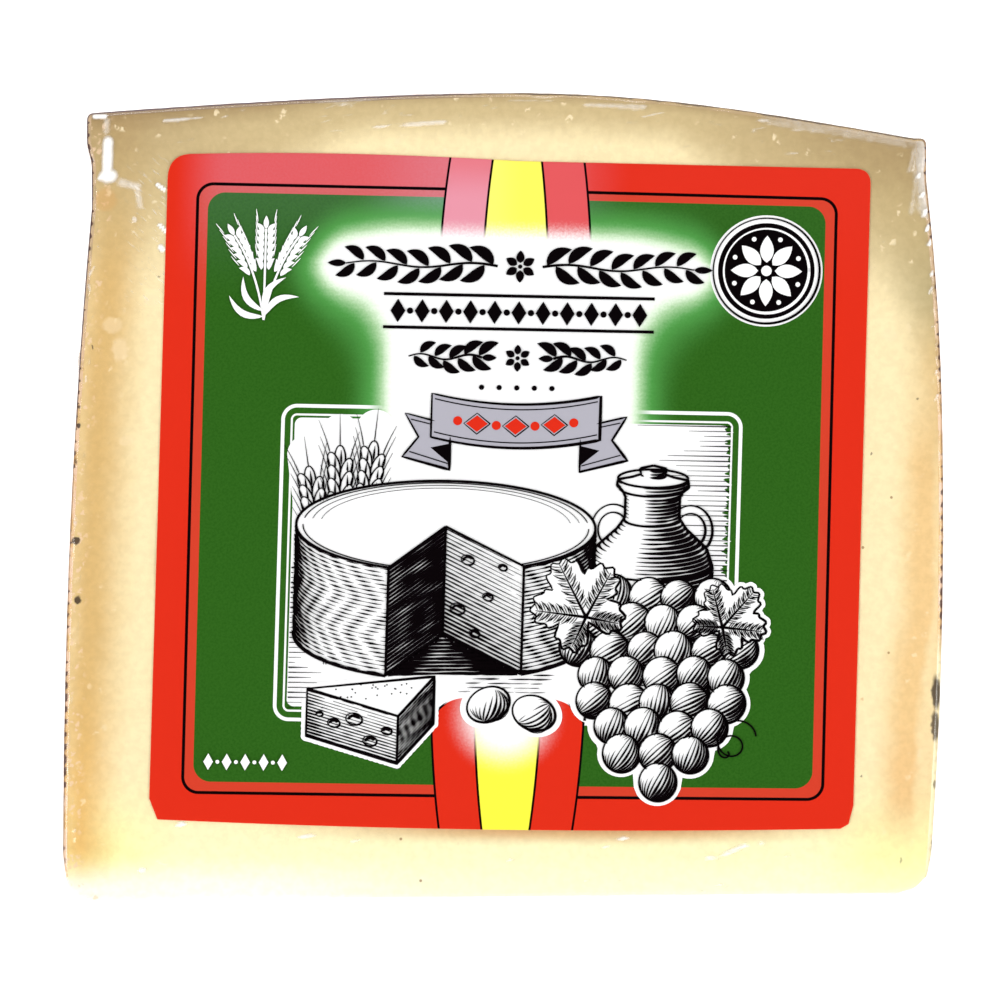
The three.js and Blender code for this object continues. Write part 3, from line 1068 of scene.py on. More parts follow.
def outside_label(u, v):
    """How far a place on the face lies outside the label, negative inside it."""
    across = (u - LABEL_BOTTOM_LEFT[0]) / LABEL_WIDTH
    up = (v - LABEL_BOTTOM_LEFT[1]) / LABEL_HEIGHT
    left = LABEL_BOTTOM_LEFT[0] + (LABEL_TOP_LEFT - LABEL_BOTTOM_LEFT)[0] * up
    right = LABEL_BOTTOM_RIGHT[0] + (LABEL_TOP_RIGHT - LABEL_BOTTOM_RIGHT)[0] * up
    bottom = LABEL_BOTTOM_LEFT[1] + (LABEL_BOTTOM_RIGHT - LABEL_BOTTOM_LEFT)[1] * across
    top = LABEL_TOP_LEFT[1] + (LABEL_TOP_RIGHT - LABEL_TOP_LEFT)[1] * across
    return np.maximum.reduce(
        (left - u, u - right, bottom - LABEL_BOTTOM_BOW - v, v - top - LABEL_TOP_BOW)
    )


def make_film(sizes, colours):
    """The film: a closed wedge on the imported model's own surface, with creases raised by a
    rounded ridge across each one, and gentle waves where it spans hollows."""
    steps = (
        lattice_steps(film_spacing(((12.0, 0.28), (88.0, 1.0), (99.0, 0.28))), 3),
        lattice_steps(film_spacing(((10.0, 0.3), (60.0, 1.3), (92.0, 0.3))), 3),
        lattice_steps(np.linspace(0, 1, 22), 3),
    )
    points, out, _, squares = wedge_body(steps, FLUSH, 0.6)
    u = points[:, 0]
    v = np.hypot(points[:, 1], points[:, 2]) - AXIS_TO_TIP
    above = points[:, 2] * math.cos(WEDGE_ANGLE) - points[:, 1] * math.sin(WEDGE_ANGLE)
    on_top = step_up(above, -1.2, -0.2)
    crease_height = millimetres(sizes.crease_height)
    haze_and_glint = np.zeros(len(points))
    ridge = np.zeros(len(points))
    # Each crease is raised and given a share of white cover: gathered film, and a painted
    # highlight where a glint would show.
    for crease in (*FILM_CREASES, *scattered_creases(21)):
        width, glint_share = crease[4:]
        height = np.exp(-(capsule_distance(u, v, crease) ** 2) * 1.3) * on_top
        ridge = np.maximum(ridge, height * min(1.0, width + 0.4))
        haze_and_glint = np.maximum(haze_and_glint, height * glint_share)
    edges, _ = edge_distances(points)
    strip = step_up(-edges[:, 2], -2.0, -1.0) * step_up(u, 27.0, 31.0) * on_top
    haze_and_glint = np.maximum(haze_and_glint, strip * (0.3 + 0.02 * ripple(points, 2.0, 35)))
    pleats = step_up(-edges[:, 1], -2.8, -0.3) * step_up(v, 76.0, 79.0) * on_top
    haze_and_glint = np.maximum(haze_and_glint, pleats * 0.45)
    off_label = outside_label(u, v)
    loose = np.where(on_top > 0, step_up(off_label, 0.3, 2.0), 1)
    waves = 0.05 * np.abs(ripple(points, 6.0, 31)) * loose
    ridge *= step_up(off_label, -0.1, 0.4) * step_up(edges.min(1), 0.1, 0.6)
    sides = step_up(-np.abs(out[:, 0]), -0.98, -0.5)
    gathers = 0.12 * np.abs(ripple(points, 5.0, 33)) ** 2 * (1 - on_top) * (1 - 0.4 * sides)
    lift = ridge * crease_height + waves + gathers
    points = points + out * lift[:, None]
    points[:, 2] = np.maximum(points[:, 2], -PACK_SHIFT[2])
    piece = new_piece("clear_film", points, [squares], film_finish(colours), 80.0)
    keep_values(piece, "haze_and_glint", haze_and_glint)
    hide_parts("film_wrapped_cheese")


# Label

KEYLINE = (-36.48, 36.3, -34.85, 34.62)
KEYLINE_CORNER = 1.8
KEYLINE_WIDTH = 0.36
FIELD = (-35.3, 35.1, -33.6, 33.68)
FIELD_CORNER = 2.0
BAND_HALF_WIDTH = 8.95
BAND_DRAW_IN = 1.3
STRIPE_HALF_WIDTH = 4.0
STRIPE_DRAW_IN = 1.2
BAND_TOP_SHIFT = -0.27
BAND_BOTTOM_SHIFT = 0.55
BAND_TOP_END = 28.5
BAND_BOTTOM_END = -23.6
DIVIDER_WIDTH = 0.26
GLOW_BROAD = (-22.4, 22.4, 22.9, 29.2)
GLOW_TALL = (-14.5, 14.0, 6.0, 26.0)
GLOW_LOW = (0.2, -25.6)  # centre of the lower glow, over the bottom band
PANEL_FRAME = (-26.05, 26.0, -26.35, 9.5)
PANEL = (-24.7, 24.7, -24.85, 8.15)


def label_outline():
    """The label's edge in a and b, anticlockwise from the bottom left: a sagging bottom edge,
    two snipped corners, two round ones and a top edge whose left half rises a little. Curves
    are quadratic arcs."""
    right, top = LABEL_WIDTH / 2, LABEL_HEIGHT / 2

    def arc(first, middle, last, count=1):
        share = np.linspace(0, 1, 15 * count)[:-1, None]
        return arc_between(np.array(first), np.array(middle), np.array(last), share)

    def line(first, last, count):
        share = np.linspace(0, 1, count)[:-1, None]
        return np.array(first) * (1 - share) + np.array(last) * share

    middle_low = (0, -top - 2 * LABEL_BOTTOM_BOW)
    left_high = (-right / 2, top + 2 * LABEL_TOP_BOW)
    cut_low_left = (-right + LABEL_LEFT_CUT[0], -top)
    cut_left = (-right, -top + LABEL_LEFT_CUT[1])
    cut_low_right = (right - LABEL_RIGHT_CUT[0], -top)
    cut_bend = (right - LABEL_RIGHT_CUT_BEND[0], -top + LABEL_RIGHT_CUT_BEND[1])
    cut_right = (right, -top + LABEL_RIGHT_CUT[1])
    round_right = (right, top - LABEL_RIGHT_RADIUS)
    round_top_right = (right - LABEL_RIGHT_RADIUS, top)
    round_top_left = (-right + LABEL_LEFT_RADIUS, top)
    round_left = (-right, top - LABEL_LEFT_RADIUS)
    pieces = (
        arc(cut_low_left, middle_low, cut_low_right, 5),
        line(cut_low_right, cut_bend, 4),
        line(cut_bend, cut_right, 6),
        line(cut_right, round_right, 60),
        arc(round_right, (right, top), round_top_right),
        line(round_top_right, (0, top), 34),
        arc((0, top), left_high, round_top_left, 3),
        arc(round_top_left, (-right, top), round_left),
        line(round_left, cut_left, 60),
        line(cut_left, cut_low_left, 6),
    )
    return np.concatenate(pieces)


def label_finish(inks):
    """Printed paper. Each field is the inside of an outline or a line along one, worked out
    from the label's own map: border, keyline, green field, white glow, framed panel and the
    striped band at the top and bottom."""
    finish = Finish("label_print")
    across, up, _ = finish.parts(finish.node("ShaderNodeUVMap", {"uv_map": "label"}))
    a = (across - 0.5) * LABEL_WIDTH
    b = (up - 0.5) * LABEL_HEIGHT
    sheet = finish.vector(a, b)
    grain = finish.noise(sheet, 0.28, 1.0, 0.7)
    streaks = finish.noise(finish.vector(a * 0.2, b), 0.5, 1.0, 0.7)

    level = b * (1 + a.most(0.0) * 0.00015)
    lean = a + (30.0 - b) * a.least(0.0) * 0.0001 + (b - 3.0) * a.most(0.0) * 0.000113
    keyline = box_distance(lean, level, KEYLINE, KEYLINE_CORNER)
    field = inside_of(box_distance(lean, level, FIELD, FIELD_CORNER))
    red = finish.mixed(inside_of(keyline) * 0.4, inks.red, srgb(190, 81, 58))
    mesh = finish.noise(finish.vector(a * 1.3 + b, b * 1.3 - a), 0.45, 1.0, 0.6)
    green = finish.mixed(mesh.ramp(0.35, 0.7), inks.green, srgb(40, 89, 22))
    # Painted sheen: the lamps' soft highlight on the satin print, painted into the base colour,
    # strongest near the top around the band.
    over_field = a.ramp(-19.0, -7.5) * 0.40 + a.ramp(-47.0, -33.0) * 0.06
    over_red = a.ramp(-19.0, -7.5) * 0.13 + a.ramp(-39.5, -33.0) * 0.17
    near_band = over_red + (over_field - over_red) * field
    sheen = near_band * (0.02 + 0.98 * a.ramp(13.0, 7.0) * (0.20 + 0.80 * a.ramp(9.0, 2.0)))
    sheen = sheen * (b + (grain - 0.5) * 3.0).ramp(21.0, 35.0) * (0.8 + grain * 0.4)
    sheen_tint = finish.mixed(field, srgb(205, 184, 208), srgb(160, 190, 182))

    glow_middle = (GLOW_BROAD[2] + GLOW_BROAD[3]) / 2
    rise = b - glow_middle
    squeeze = (abs(a) - 15.0).most(0.0) ** 2 * 0.021 + a.ramp(4.0, 10.0) * 0.7
    level_with = abs(rise) + squeeze * rise.ramp(-1.0, 1.0) + glow_middle
    broad = box_distance(a, level_with, GLOW_BROAD, 3.2)
    tall = box_distance(a, b, GLOW_TALL, 3.0)
    blend = 8.0
    meet = (0.5 + 0.5 * (tall - broad) / blend).clamped()
    glow_distance = broad * meet + tall * (1 - meet) - blend * meet * (1 - meet)
    glow_edge = glow_distance + (grain - 0.5) * 0.5 + (streaks - 0.5) * 0.3

    frame_line = box_distance(a, b, PANEL_FRAME, 1.6)
    frame_shown = glow_distance.ramp(-0.5, 2.5)
    white_line = line_at(frame_line, 0.4).most(line_at(frame_line + 1.0, 0.22))
    frayed = a + (streaks - 0.5) * a.ramp(20.0, 25.0) * 2.6
    panel = inside_of(box_distance(frayed, b, PANEL, 0.8))

    downwards = b / -LABEL_HEIGHT + 0.5
    x = a - BAND_TOP_SHIFT - (BAND_BOTTOM_SHIFT - BAND_TOP_SHIFT) * downwards
    bulge = (b / (LABEL_HEIGHT / 2)) ** 2
    bulge = bulge * bulge
    outer = abs(x) - (BAND_HALF_WIDTH - BAND_DRAW_IN * bulge)
    inner = abs(x) - (STRIPE_HALF_WIDTH - STRIPE_DRAW_IN * bulge)
    high = b.ramp(BAND_TOP_END - 0.3, BAND_TOP_END + 0.3)
    rounded = box_distance(x, b, (-BAND_HALF_WIDTH, BAND_HALF_WIDTH, -80.0, BAND_BOTTOM_END), 4.2)
    low = inside_of(rounded.most(outer))
    band = high * inside_of(outer) + low
    # Painted sheen on the upper band: its red paled to pink, most on the left, and its yellow
    # mixed towards white, standing in for the lamps' highlight.
    band_sheen = x.ramp(1.0, -1.0) * (0.46 - b.ramp(33.0, 38.5) * 0.25) + 0.16
    pale_red = finish.mixed(band_sheen, inks.red, srgb(229, 178, 200))
    side_red = finish.mixed(b.ramp(0.0, 1.0), inks.red, pale_red)
    yellow_sheen = b.ramp(0.0, 1.0) * (0.06 + x.ramp(1.0, -3.0) * 0.05)
    middle_yellow = finish.mixed(yellow_sheen, inks.yellow, inks.paper)
    wane_top = (b + (grain - 0.5) * 1.2).ramp(31.6, 28.6) * b.ramp(0.0, 1.0)
    from_low = ((a - GLOW_LOW[0]) ** 2 + (b - GLOW_LOW[1]) ** 2).root()
    wane_low = (from_low + (grain - 0.5) * 0.8).ramp(7.4, 2.4) * b.ramp(1.0, 0.0)
    wane = (wane_top + wane_low).clamped() ** 1.5
    stripes = finish.layered(side_red, (inside_of(inner), middle_yellow), (wane, inks.paper))

    dividers = line_at(outer, DIVIDER_WIDTH).most(line_at(inner, DIVIDER_WIDTH))
    dividers = dividers * (b.ramp(28.8, 30.8) + low * b.ramp(-26.5, -31.0))
    shoulders = line_at(rounded.most(outer), DIVIDER_WIDTH)
    shoulders = shoulders * (abs(x).ramp(6.6, 7.4) * b.ramp(-20.0, -22.0))
    dividers = dividers.most(shoulders)
    off_band = inside_of(-outer)
    off_band = off_band.most(b.ramp(20.0, 10.0) * b.ramp(-20.0, -10.0))
    keyline_ink = line_at(keyline, KEYLINE_WIDTH) * off_band
    worn = (finish.stored("rim") + (grain - 0.5) * 0.7).ramp(0.5, 0.9)

    base = finish.layered(
        finish.mixed(field, red, green),
        (sheen, sheen_tint),
        (glow_edge.ramp(6.0, 0.4) ** 1.8 * field, srgb(84, 160, 78)),
        (glow_edge.ramp(2.0, -0.9) ** 1.3 * field, srgb(222, 244, 208)),
        (glow_edge.ramp(0.6, -1.4) * field, inks.paper),
        (white_line * frame_shown, inks.paper),
        (panel, inks.paper),
        (band, stripes),
        (dividers.most(keyline_ink), inks.black),
        (worn * 0.4, srgb(255, 170, 120)),
    )
    pressed = finish.noise(sheet, 5.0, 0.0)
    shader = finish.coated(
        Base_Color=base,
        Roughness=0.5,
        Specular_IOR_Level=0.02,
        Normal=finish.bump(pressed, 0.2, 0.5),
    )
    return finish.done(shader)


def make_label(sizes, inks):
    """The label's paper: rings shrunk from its outline towards the middle, then its edge and
    its underside. The outermost rings bend down to the film."""
    outline = label_outline()
    count = len(outline)
    reach = np.linalg.norm(outline, axis=1)
    thickness = millimetres(sizes.label_thickness)
    margins = (0.0, 0.1, 0.3, 0.8, 2.0)
    rings = [outline * (1 - margin / reach)[:, None] for margin in margins]
    rings += [rings[-1] * share for share in np.linspace(1, 0.04, 22)[1:]]
    drops = np.zeros(len(rings))
    drops[:2] = 0.035, 0.015
    tops = [on_label(ring, LABEL_LIFT + thickness - drop) for ring, drop in zip(rings, drops)]
    bottom = on_label(outline, LABEL_LIFT)
    points = np.concatenate((bottom, *tops))
    number = np.arange(len(points)).reshape(-1, count)
    faces = [ring_squares(number, True), number[-1], number[0][::-1]]
    piece = new_piece("label_sheet", points, faces, label_finish(inks), 35.0)
    rim = np.zeros(len(points))
    rim[: 2 * count] = 1.0
    keep_values(piece, "rim", rim)
    places = np.concatenate((outline, *rings))
    shares = places / (LABEL_WIDTH, LABEL_HEIGHT) + 0.5
    corners = np.empty(len(piece.data.loops), np.int32)
    piece.data.loops.foreach_get("vertex_index", corners)
    chart = piece.data.uv_layers.new(name="label")
    chart.uv.foreach_set("vector", shares[corners].astype(np.float32).ravel())
    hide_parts("label")


# Print in place of lettering and pictures, in label mm

THINNEST_LINE = 0.05
INK_LEVEL = 3  # lines lie this many ink steps above the last patch


def inside(places, outline):
    """Even-odd rule: a place is inside where a line to its right crosses the outline an odd
    number of times."""
    x, y = places[..., 0, None], places[..., 1, None]
    first, last = outline, np.roll(outline, -1, axis=0)
    rise = last[:, 1] - first[:, 1]
    rise = np.where(rise == 0, 1e-12, rise)
    crossing = first[:, 0] + (y - first[:, 1]) * (last[:, 0] - first[:, 0]) / rise
    straddles = (first[:, 1] > y) != (last[:, 1] > y)
    return (straddles & (x < crossing)).sum(-1) % 2 == 1


class Drawing:
    """Line art drawn from back to front. A mask hides the lines that were drawn before it."""

    def __init__(self):
        self.lines = []
        self.masks = []

    def cover(self, outline):
        self.masks.append((len(self.lines), outline))

    def draw(self, lines, widths):
        """Adds rows of places, each with a width at every place."""
        lines = np.asarray(lines, float)
        lines = lines[None] if lines.ndim == 2 else lines
        self.lines.append((lines, np.array(np.broadcast_to(widths, lines.shape[:2]))))

    def shown(self, order):
        """The widths of one set of lines, 0 where a later mask hides them."""
        lines, widths = self.lines[order]
        low, high = lines.min((0, 1)), lines.max((0, 1))
        for after, outline in self.masks:
            apart = (outline.max(0) < low) | (outline.min(0) > high)
            if order < after and not apart.any():
                widths = np.where(inside(lines, outline), 0, widths)
        return lines, widths

    def ribbons(self):
        """Every line as a flat ribbon: its places moved half its width to both sides. Also
        returns the line's number at each place."""
        points, squares, orders, start = [], [], [], 0
        for order in range(len(self.lines)):
            lines, widths = self.shown(order)
            ahead = np.gradient(lines, axis=1)
            ahead /= np.maximum(np.linalg.norm(ahead, axis=-1), 1e-9)[..., None]
            beside = np.stack((-ahead[..., 1], ahead[..., 0]), -1) * widths[..., None] / 2
            points.append(np.concatenate((lines + beside, lines - beside)).reshape(-1, 2))
            left = np.arange(widths.size).reshape(widths.shape) + start
            right = left + widths.size
            corners = (right[:, :-1], right[:, 1:], left[:, 1:], left[:, :-1])
            wide = np.maximum(widths[:, :-1], widths[:, 1:]) > THINNEST_LINE
            squares.append(np.stack(corners, -1)[wide])
            row = np.arange(len(lines)) + (orders[-1][-1] + 1 if orders else 0)
            orders.append(np.tile(np.repeat(row, lines.shape[1]), 2))
            start += 2 * widths.size
        used, squares = np.unique(np.concatenate(squares), return_inverse=True)
        return np.concatenate(points)[used], squares.reshape(-1, 4), np.concatenate(orders)[used]


def hatch(drawing, surface, tone, rows, columns, seed=0, fill=0.82):
    """Lines that run along a surface, as far apart as its rows and each as wide as the tone
    there asks. surface and tone take the share along and the share across."""
    across, along = np.meshgrid(
        (np.arange(rows) + 0.5) / rows, np.linspace(0, 1, columns), indexing="ij"
    )
    lines = surface(along, across)
    half_row = 0.5 / rows
    gap = np.linalg.norm(
        surface(along, across + half_row) - surface(along, across - half_row), axis=-1
    )
    uneven = ripple(np.dstack((lines, across * 40)), 2.4, seed)
    widths = np.clip(tone(along, across) * (1 + 0.22 * uneven), 0, fill) * gap
    drawing.draw(lines, np.where(widths < THINNEST_LINE, 0, widths))


def outlined(drawing, outline, width, closed=True):
    """A line round an outline, a little heavier low on its right."""
    loop = np.concatenate((outline, outline[:2])) if closed else outline
    place = loop - loop.mean(0)
    heavy = (place @ (0.7, -0.7)) / max(np.abs(place).max(), 1e-6)
    drawing.draw(loop, width * (1 + 0.35 * heavy))


def level(across, height):
    """Places at one height."""
    return np.column_stack((across, np.full(len(across), height)))


def part_way(line, at):
    """Places at shares of the way along a line of evenly spaced points."""
    share = np.linspace(0, 1, len(line))
    return np.stack([np.interp(at, share, way) for way in line.T], -1)


def spun(places, degrees):
    """Places turned anticlockwise about the origin."""
    cos, sin = polar(math.radians(degrees))
    return places @ np.array(((cos, sin), (-sin, cos)))


def oval(centre, radii, start=0.0, stop=360.0, count=48, turned=0.0):
    """Places along an elliptical arc, anticlockwise in degrees."""
    angle = np.radians(np.linspace(start, stop, count + 1))
    place = spun(polar(angle) * radii, turned) + centre
    return place[:-1] if abs(stop - start) == 360.0 else place


def halo(places, reach, centre=None):
    """The outline of discs round places, seen from a centre: along each direction, as far as
    the farthest disc goes."""
    centre = places.mean(0) if centre is None else np.array(centre, float)
    angle = np.radians(np.arange(0, 360, 2))
    toward = polar(angle)
    apart = places - centre
    beside = apart[:, :1] * toward[:, 1] - apart[:, 1:] * toward[:, 0]
    half = np.sqrt(np.clip(reach**2 - beside**2, 0, None))
    far = np.where(np.abs(beside) < reach, apart @ toward.T + half, 0).max(0)
    return centre + toward * far[:, None]


def edge_points(corners, spacing=0.6):
    """A polygon's corners with evenly spaced places between them."""
    corners = np.asarray(corners, float)
    stretches = []
    for first, last in zip(corners, np.roll(corners, -1, axis=0)):
        count = max(1, round(float(np.linalg.norm(last - first)) / spacing))
        stretches.append(first + (last - first) * np.arange(count)[:, None] / count)
    return np.concatenate(stretches)


def four_sided(low_left, low_right, top_left, top_right):
    """A flat face as a surface: a blend of its four corners."""
    corners = [np.array(corner, float) for corner in (low_left, low_right, top_left, top_right)]

    def surface(along, across):
        along, across = along[..., None], across[..., None]
        low = corners[0] * (1 - along) + corners[1] * along
        top = corners[2] * (1 - along) + corners[3] * along
        return low * (1 - across) + top * across

    return surface


def leaves(drawing, bases, directions, lengths, widths, bend=0.15):
    """Solid leaves: short lines that bend to one side, as wide as a sine makes them."""
    share = np.linspace(0, 1, 11)
    turn = np.radians(directions)[:, None]
    run = np.broadcast_to(lengths, len(bases))[:, None] * share
    sag = bend * np.broadcast_to(lengths, len(bases))[:, None] * np.sin(math.pi * share)
    x = bases[:, 0, None] + run * np.cos(turn) - sag * np.sin(turn)
    y = bases[:, 1, None] + run * np.sin(turn) + sag * np.cos(turn)
    profile = np.sin(math.pi * share**0.85) ** 0.85
    full = np.broadcast_to(widths, len(bases))[:, None] * profile
    drawing.draw(np.dstack((x, y)), full)


def dots(drawing, centres, radius):
    """Solid discs: each a short line as wide as the disc is at every place."""
    share = np.sin(np.linspace(-1, 1, 13) * math.pi / 2)
    x = centres[:, 0, None] + radius * share
    y = centres[:, 1, None] + 0 * share
    drawing.draw(np.dstack((x, y)), 2 * radius * np.sqrt(np.clip(1 - share**2, 0, 1)))


def lozenges(drawing, centres, half_width, half_height):
    """Solid lozenges: upright lines that widen to the middle."""
    share = np.array((-1.0, 0.0, 1.0))
    x = centres[:, 0, None] + 0 * share
    y = centres[:, 1, None] + half_height * share
    drawing.draw(np.dstack((x, y)), 2 * half_width * (1 - np.abs(share)))


def garland(drawing, middle, half_length, leaf_length, leaf_width, pairs, outwards=True):
    """Two leafy stems that run from a small flower at the middle to both sides."""
    for side in (-1, 1):
        share = np.linspace(0, 1, 40)
        start = leaf_length * (0.75 if outwards else 1.5)
        stem_x = middle[0] + side * (start + (half_length - start) * share)
        stem_y = middle[1] + 0.3 * np.sin(share * math.pi * 3)
        stem = np.column_stack((stem_x, stem_y))
        drawing.draw(stem, 0.3 - 0.14 * share)
        forward = 0.0 if (side > 0) == outwards else 180.0
        for upper in (-1, 1):
            at = (np.arange(pairs) + (0.2 if upper > 0 else 0.62)) / pairs
            bases = part_way(stem, at)
            turn = upper if forward == 0 else -upper
            bases[:, 1] += 0.12 * upper
            lean = np.full(pairs, forward + turn * 34)
            size = leaf_length * (1 - 0.25 * at)
            leaves(drawing, bases, lean, size, leaf_width * (1 - 0.2 * at), 0.14 * turn)
        tip = np.array([[stem_x[-1] if outwards else stem_x[0], middle[1]]])
        leaves(drawing, tip, np.array([forward]), leaf_length * 0.62, 0.8, 0.0)
    spokes = np.arange(0, 360, 60) + 30.0
    toward = polar(np.radians(spokes))
    leaves(drawing, middle + 0.42 * toward, spokes, leaf_length * 0.42, leaf_width * 0.72, 0.0)
    dots(drawing, np.array([middle]), 0.24)


def draw_title_ornament(black):
    """Two garlands and a band of lozenges between two rules, where a title would be."""
    garland(black, (0.4, 25.9), 19.8, 3.4, 1.3, 7)
    marks = np.arange(-5, 6) * 2.75 + 0.4
    lozenges(black, level(marks, 20.6), 0.85, 1.35)
    dots(black, level((marks[:-1] + marks[1:]) / 2, 20.6), 0.36)
    for height in (22.5, 18.7):
        black.draw(level(np.linspace(-15.0, 15.8, 40), height), 0.36)
    garland(black, (0.4, 15.4), 12.4, 2.7, 1.1, 5, outwards=False)


def draw_rosette(patches, black, white):
    """A round medallion with an eight-petalled flower, white on black on white."""
    middle = np.array((28.4, 26.0))
    paper, ring, disc, rim = (oval(middle, (r, r), count=72) for r in (6.4, 6.05, 5.5, 4.85))
    patches.append((paper, "paper"))
    outlined(black, ring, 0.22)
    patches.append((disc, "black"))
    outlined(white, rim, 0.26)
    spokes = np.arange(0, 360, 45.0)
    toward = polar(np.radians(spokes))
    leaves(white, middle + toward * 0.95, spokes, 3.1, 1.55, 0.0)
    dots(white, middle + 3.9 * polar(np.radians(spokes + 22.5)), 0.27)
    dots(white, middle[None], 0.6)


def stalk_line(foot, head):
    """A bending stalk, and the direction in degrees at its head."""
    foot, head = np.array(foot, float), np.array(head, float)
    share = np.linspace(0, 1, 30)[:, None]
    knee = np.array((head[0] * 0.25 + foot[0] * 0.75, foot[1] * 0.4 + head[1] * 0.6))
    stalk = arc_between(foot, knee, head, share)
    ahead = stalk[-1] - stalk[-8]
    return stalk, math.degrees(math.atan2(ahead[1], ahead[0]))


def solid_ear(drawing, foot, head, pairs, kernel, width):
    """An ear of wheat in solid strokes: kernels that stand clear of the stalk, and awns."""
    stalk, ahead = stalk_line(foot, head)
    drawing.draw(stalk, 0.24)
    bases = part_way(stalk, 0.5 + 0.5 * (np.arange(pairs) / pairs))
    forward = polar(math.radians(ahead))
    beside = np.array((-forward[1], forward[0]))
    for side in (-1, 1):
        start = bases + beside * side * 0.42
        leaves(drawing, start, np.full(pairs, ahead + side * 26), kernel, width, -0.16 * side)
        tips = start + kernel * forward + beside * side * 0.5
        leaves(drawing, tips, np.full(pairs, ahead + side * 10), kernel * 1.1, 0.12, 0.0)
    leaves(drawing, stalk[-1:], np.array([ahead]), kernel, width, 0.0)


def engraved_ear(drawing, foot, head, pairs, kernel):
    """An ear of wheat whose kernels are outlined, laid from the top down, with long awns.
    Returns the outline of its halo."""
    stalk, ahead = stalk_line(foot, head)
    drawing.draw(stalk + (0.14, 0.0), 0.14)
    drawing.draw(stalk - (0.14, 0.0), 0.12)
    draw = np.random.default_rng(int(abs(head[0]) * 10))
    forward = polar(math.radians(ahead))
    beside = np.array((-forward[1], forward[0]))
    for number in range(2 * pairs, -1, -1):
        at = 0.46 + 0.54 * number / (2 * pairs)
        side = (-1, 1)[number % 2] * (number < 2 * pairs)
        middle = part_way(stalk, at) + forward * kernel * 0.4 + beside * side * kernel * 0.27
        tip = middle + forward * kernel * 0.45 + beside * side * kernel * 0.16
        reach = 3.4 + draw.uniform(-0.5, 0.6)
        thread = np.linspace(0, 1, 9)[:, None]
        awn = tip + thread * reach * (forward + beside * side * (0.24 + 0.1 * thread))
        drawing.draw(awn, 0.15 * (1 - 0.7 * thread[:, 0]))
        outline = oval(middle, (kernel * 0.54, kernel * 0.235), turned=ahead + side * 19)
        drawing.cover(outline)
        outlined(drawing, outline, 0.19)
        ridge = np.linspace(middle - forward * kernel * 0.3, middle + forward * kernel * 0.34, 7)
        drawing.draw(ridge - beside * 0.12, np.array((0.05, 0.2, 0.26, 0.24, 0.18, 0.1, 0.05)))
    reach = np.linspace(stalk[13], stalk[-1] + forward * (kernel + 1.2), 30)
    return halo(np.concatenate((stalk[13:], reach)), kernel * 0.62 + 0.62, stalk[-5])


def draw_small_ornaments(white):
    """Three white ears at the top left and a row of lozenges at the bottom left."""
    for head in ((-32.2, 28.8), (-28.6, 29.6), (-24.8, 28.8)):
        solid_ear(white, (-28.6, 19.2), head, 6, 1.5, 0.6)
    blades = np.array(((-28.6, 19.6), (-28.6, 19.6), (-28.6, 20.2), (-28.6, 20.2)))
    leaves(white, blades, np.array((30.0, 150.0, 58.0, 122.0)), 4.6, 0.75, 0.2)
    marks = np.arange(5) * 2.1 - 33.4
    lozenges(white, level(marks, -31.3), 0.55, 0.95)
    dots(white, level(marks[:-1] + 1.05, -31.3), 0.22)


def draw_ribbon(patches, black, red):
    """A plain ribbon with folded tails, lozenges and dots on it."""
    middle, reach, sag = 0.4, 9.6, 1.1
    tail_shift = (middle, 0.6)

    def across(at, rise):
        return np.column_stack((middle + reach * at, rise + sag * at**2))

    def edge(rise):
        return across(np.linspace(-1, 1, 41), 8.0 + rise)

    for side in (-1, 1):
        tail = np.array(((7.4, 7.0), (12.6, 8.3), (11.0, 5.6), (12.8, 3.3), (7.4, 1.9)))
        tail = (tail * (side, 1.0) + tail_shift)[::-side]
        patches.append((tail, "grey"))
        outlined(black, edge_points(tail), 0.26)
        fold = np.array(((7.4, 2.6), (9.6, 4.4), (7.4, 4.9)))
        fold = (fold * (side, 1.0) + tail_shift)[::side]
        patches.append((fold, "black"))
        for first, last in (((7.6, 6.6), (11.9, 7.6)), ((7.6, 2.6), (12.0, 3.9))):
            black.draw(np.linspace(first, last, 24) * (side, 1.0) + tail_shift, 0.13)
    body = np.concatenate((edge(-2.9), edge(2.1)[::-1]))
    black.cover(body)
    patches.append((body, "grey"))
    outlined(black, edge_points(body, 1.0), 0.3)
    for rise in (-2.3, 1.5):
        black.draw(edge(rise) * (0.965, 1.0) + (0.014, 0.0), 0.14)
    lozenge_places = across(np.array((-4.4, 0.0, 4.4)) / reach, 7.6)
    lozenges(red, lozenge_places, 1.25, 0.95)
    for at in lozenge_places:
        rhombus = at + np.array(((1.5, 0.0), (0.0, 1.2), (-1.5, 0.0), (0.0, -1.2)))
        outlined(black, edge_points(rhombus, 0.5), 0.13)
    dots(red, across(np.array((-6.6, -2.2, 2.2, 6.6)) / reach, 7.6), 0.52)
    dots(black, level(np.arange(-2, 3) * 2.0 + middle, 12.0), 0.3)


def shaded_ball(drawing, centre, radii, turned, dark, seed):
    """A round fruit: an outline and meridians, heavier away from the light."""
    outline = oval(centre, radii, turned=turned)
    drawing.cover(outline)

    def surface(along, across):
        rise = math.pi * (along - 0.5) * 0.96
        sweep = math.pi * (across - 0.5) * 0.9
        place = np.stack((np.sin(sweep) * np.cos(rise), np.sin(rise)), -1) * radii
        return spun(place, turned - 38) + centre

    def tone(along, across):
        place = (surface(along, across) - centre) / np.max(radii)
        height = np.sqrt(np.clip(1 - (place**2).sum(-1), 0, 1))
        light = place @ np.array((-0.50, 0.55)) + 0.66 * height
        return dark + 0.62 - 0.95 * np.clip(light, 0, 1) ** 1.6

    hatch(drawing, surface, tone, 12, 15, seed, 0.95)
    outlined(drawing, outline, 0.26)


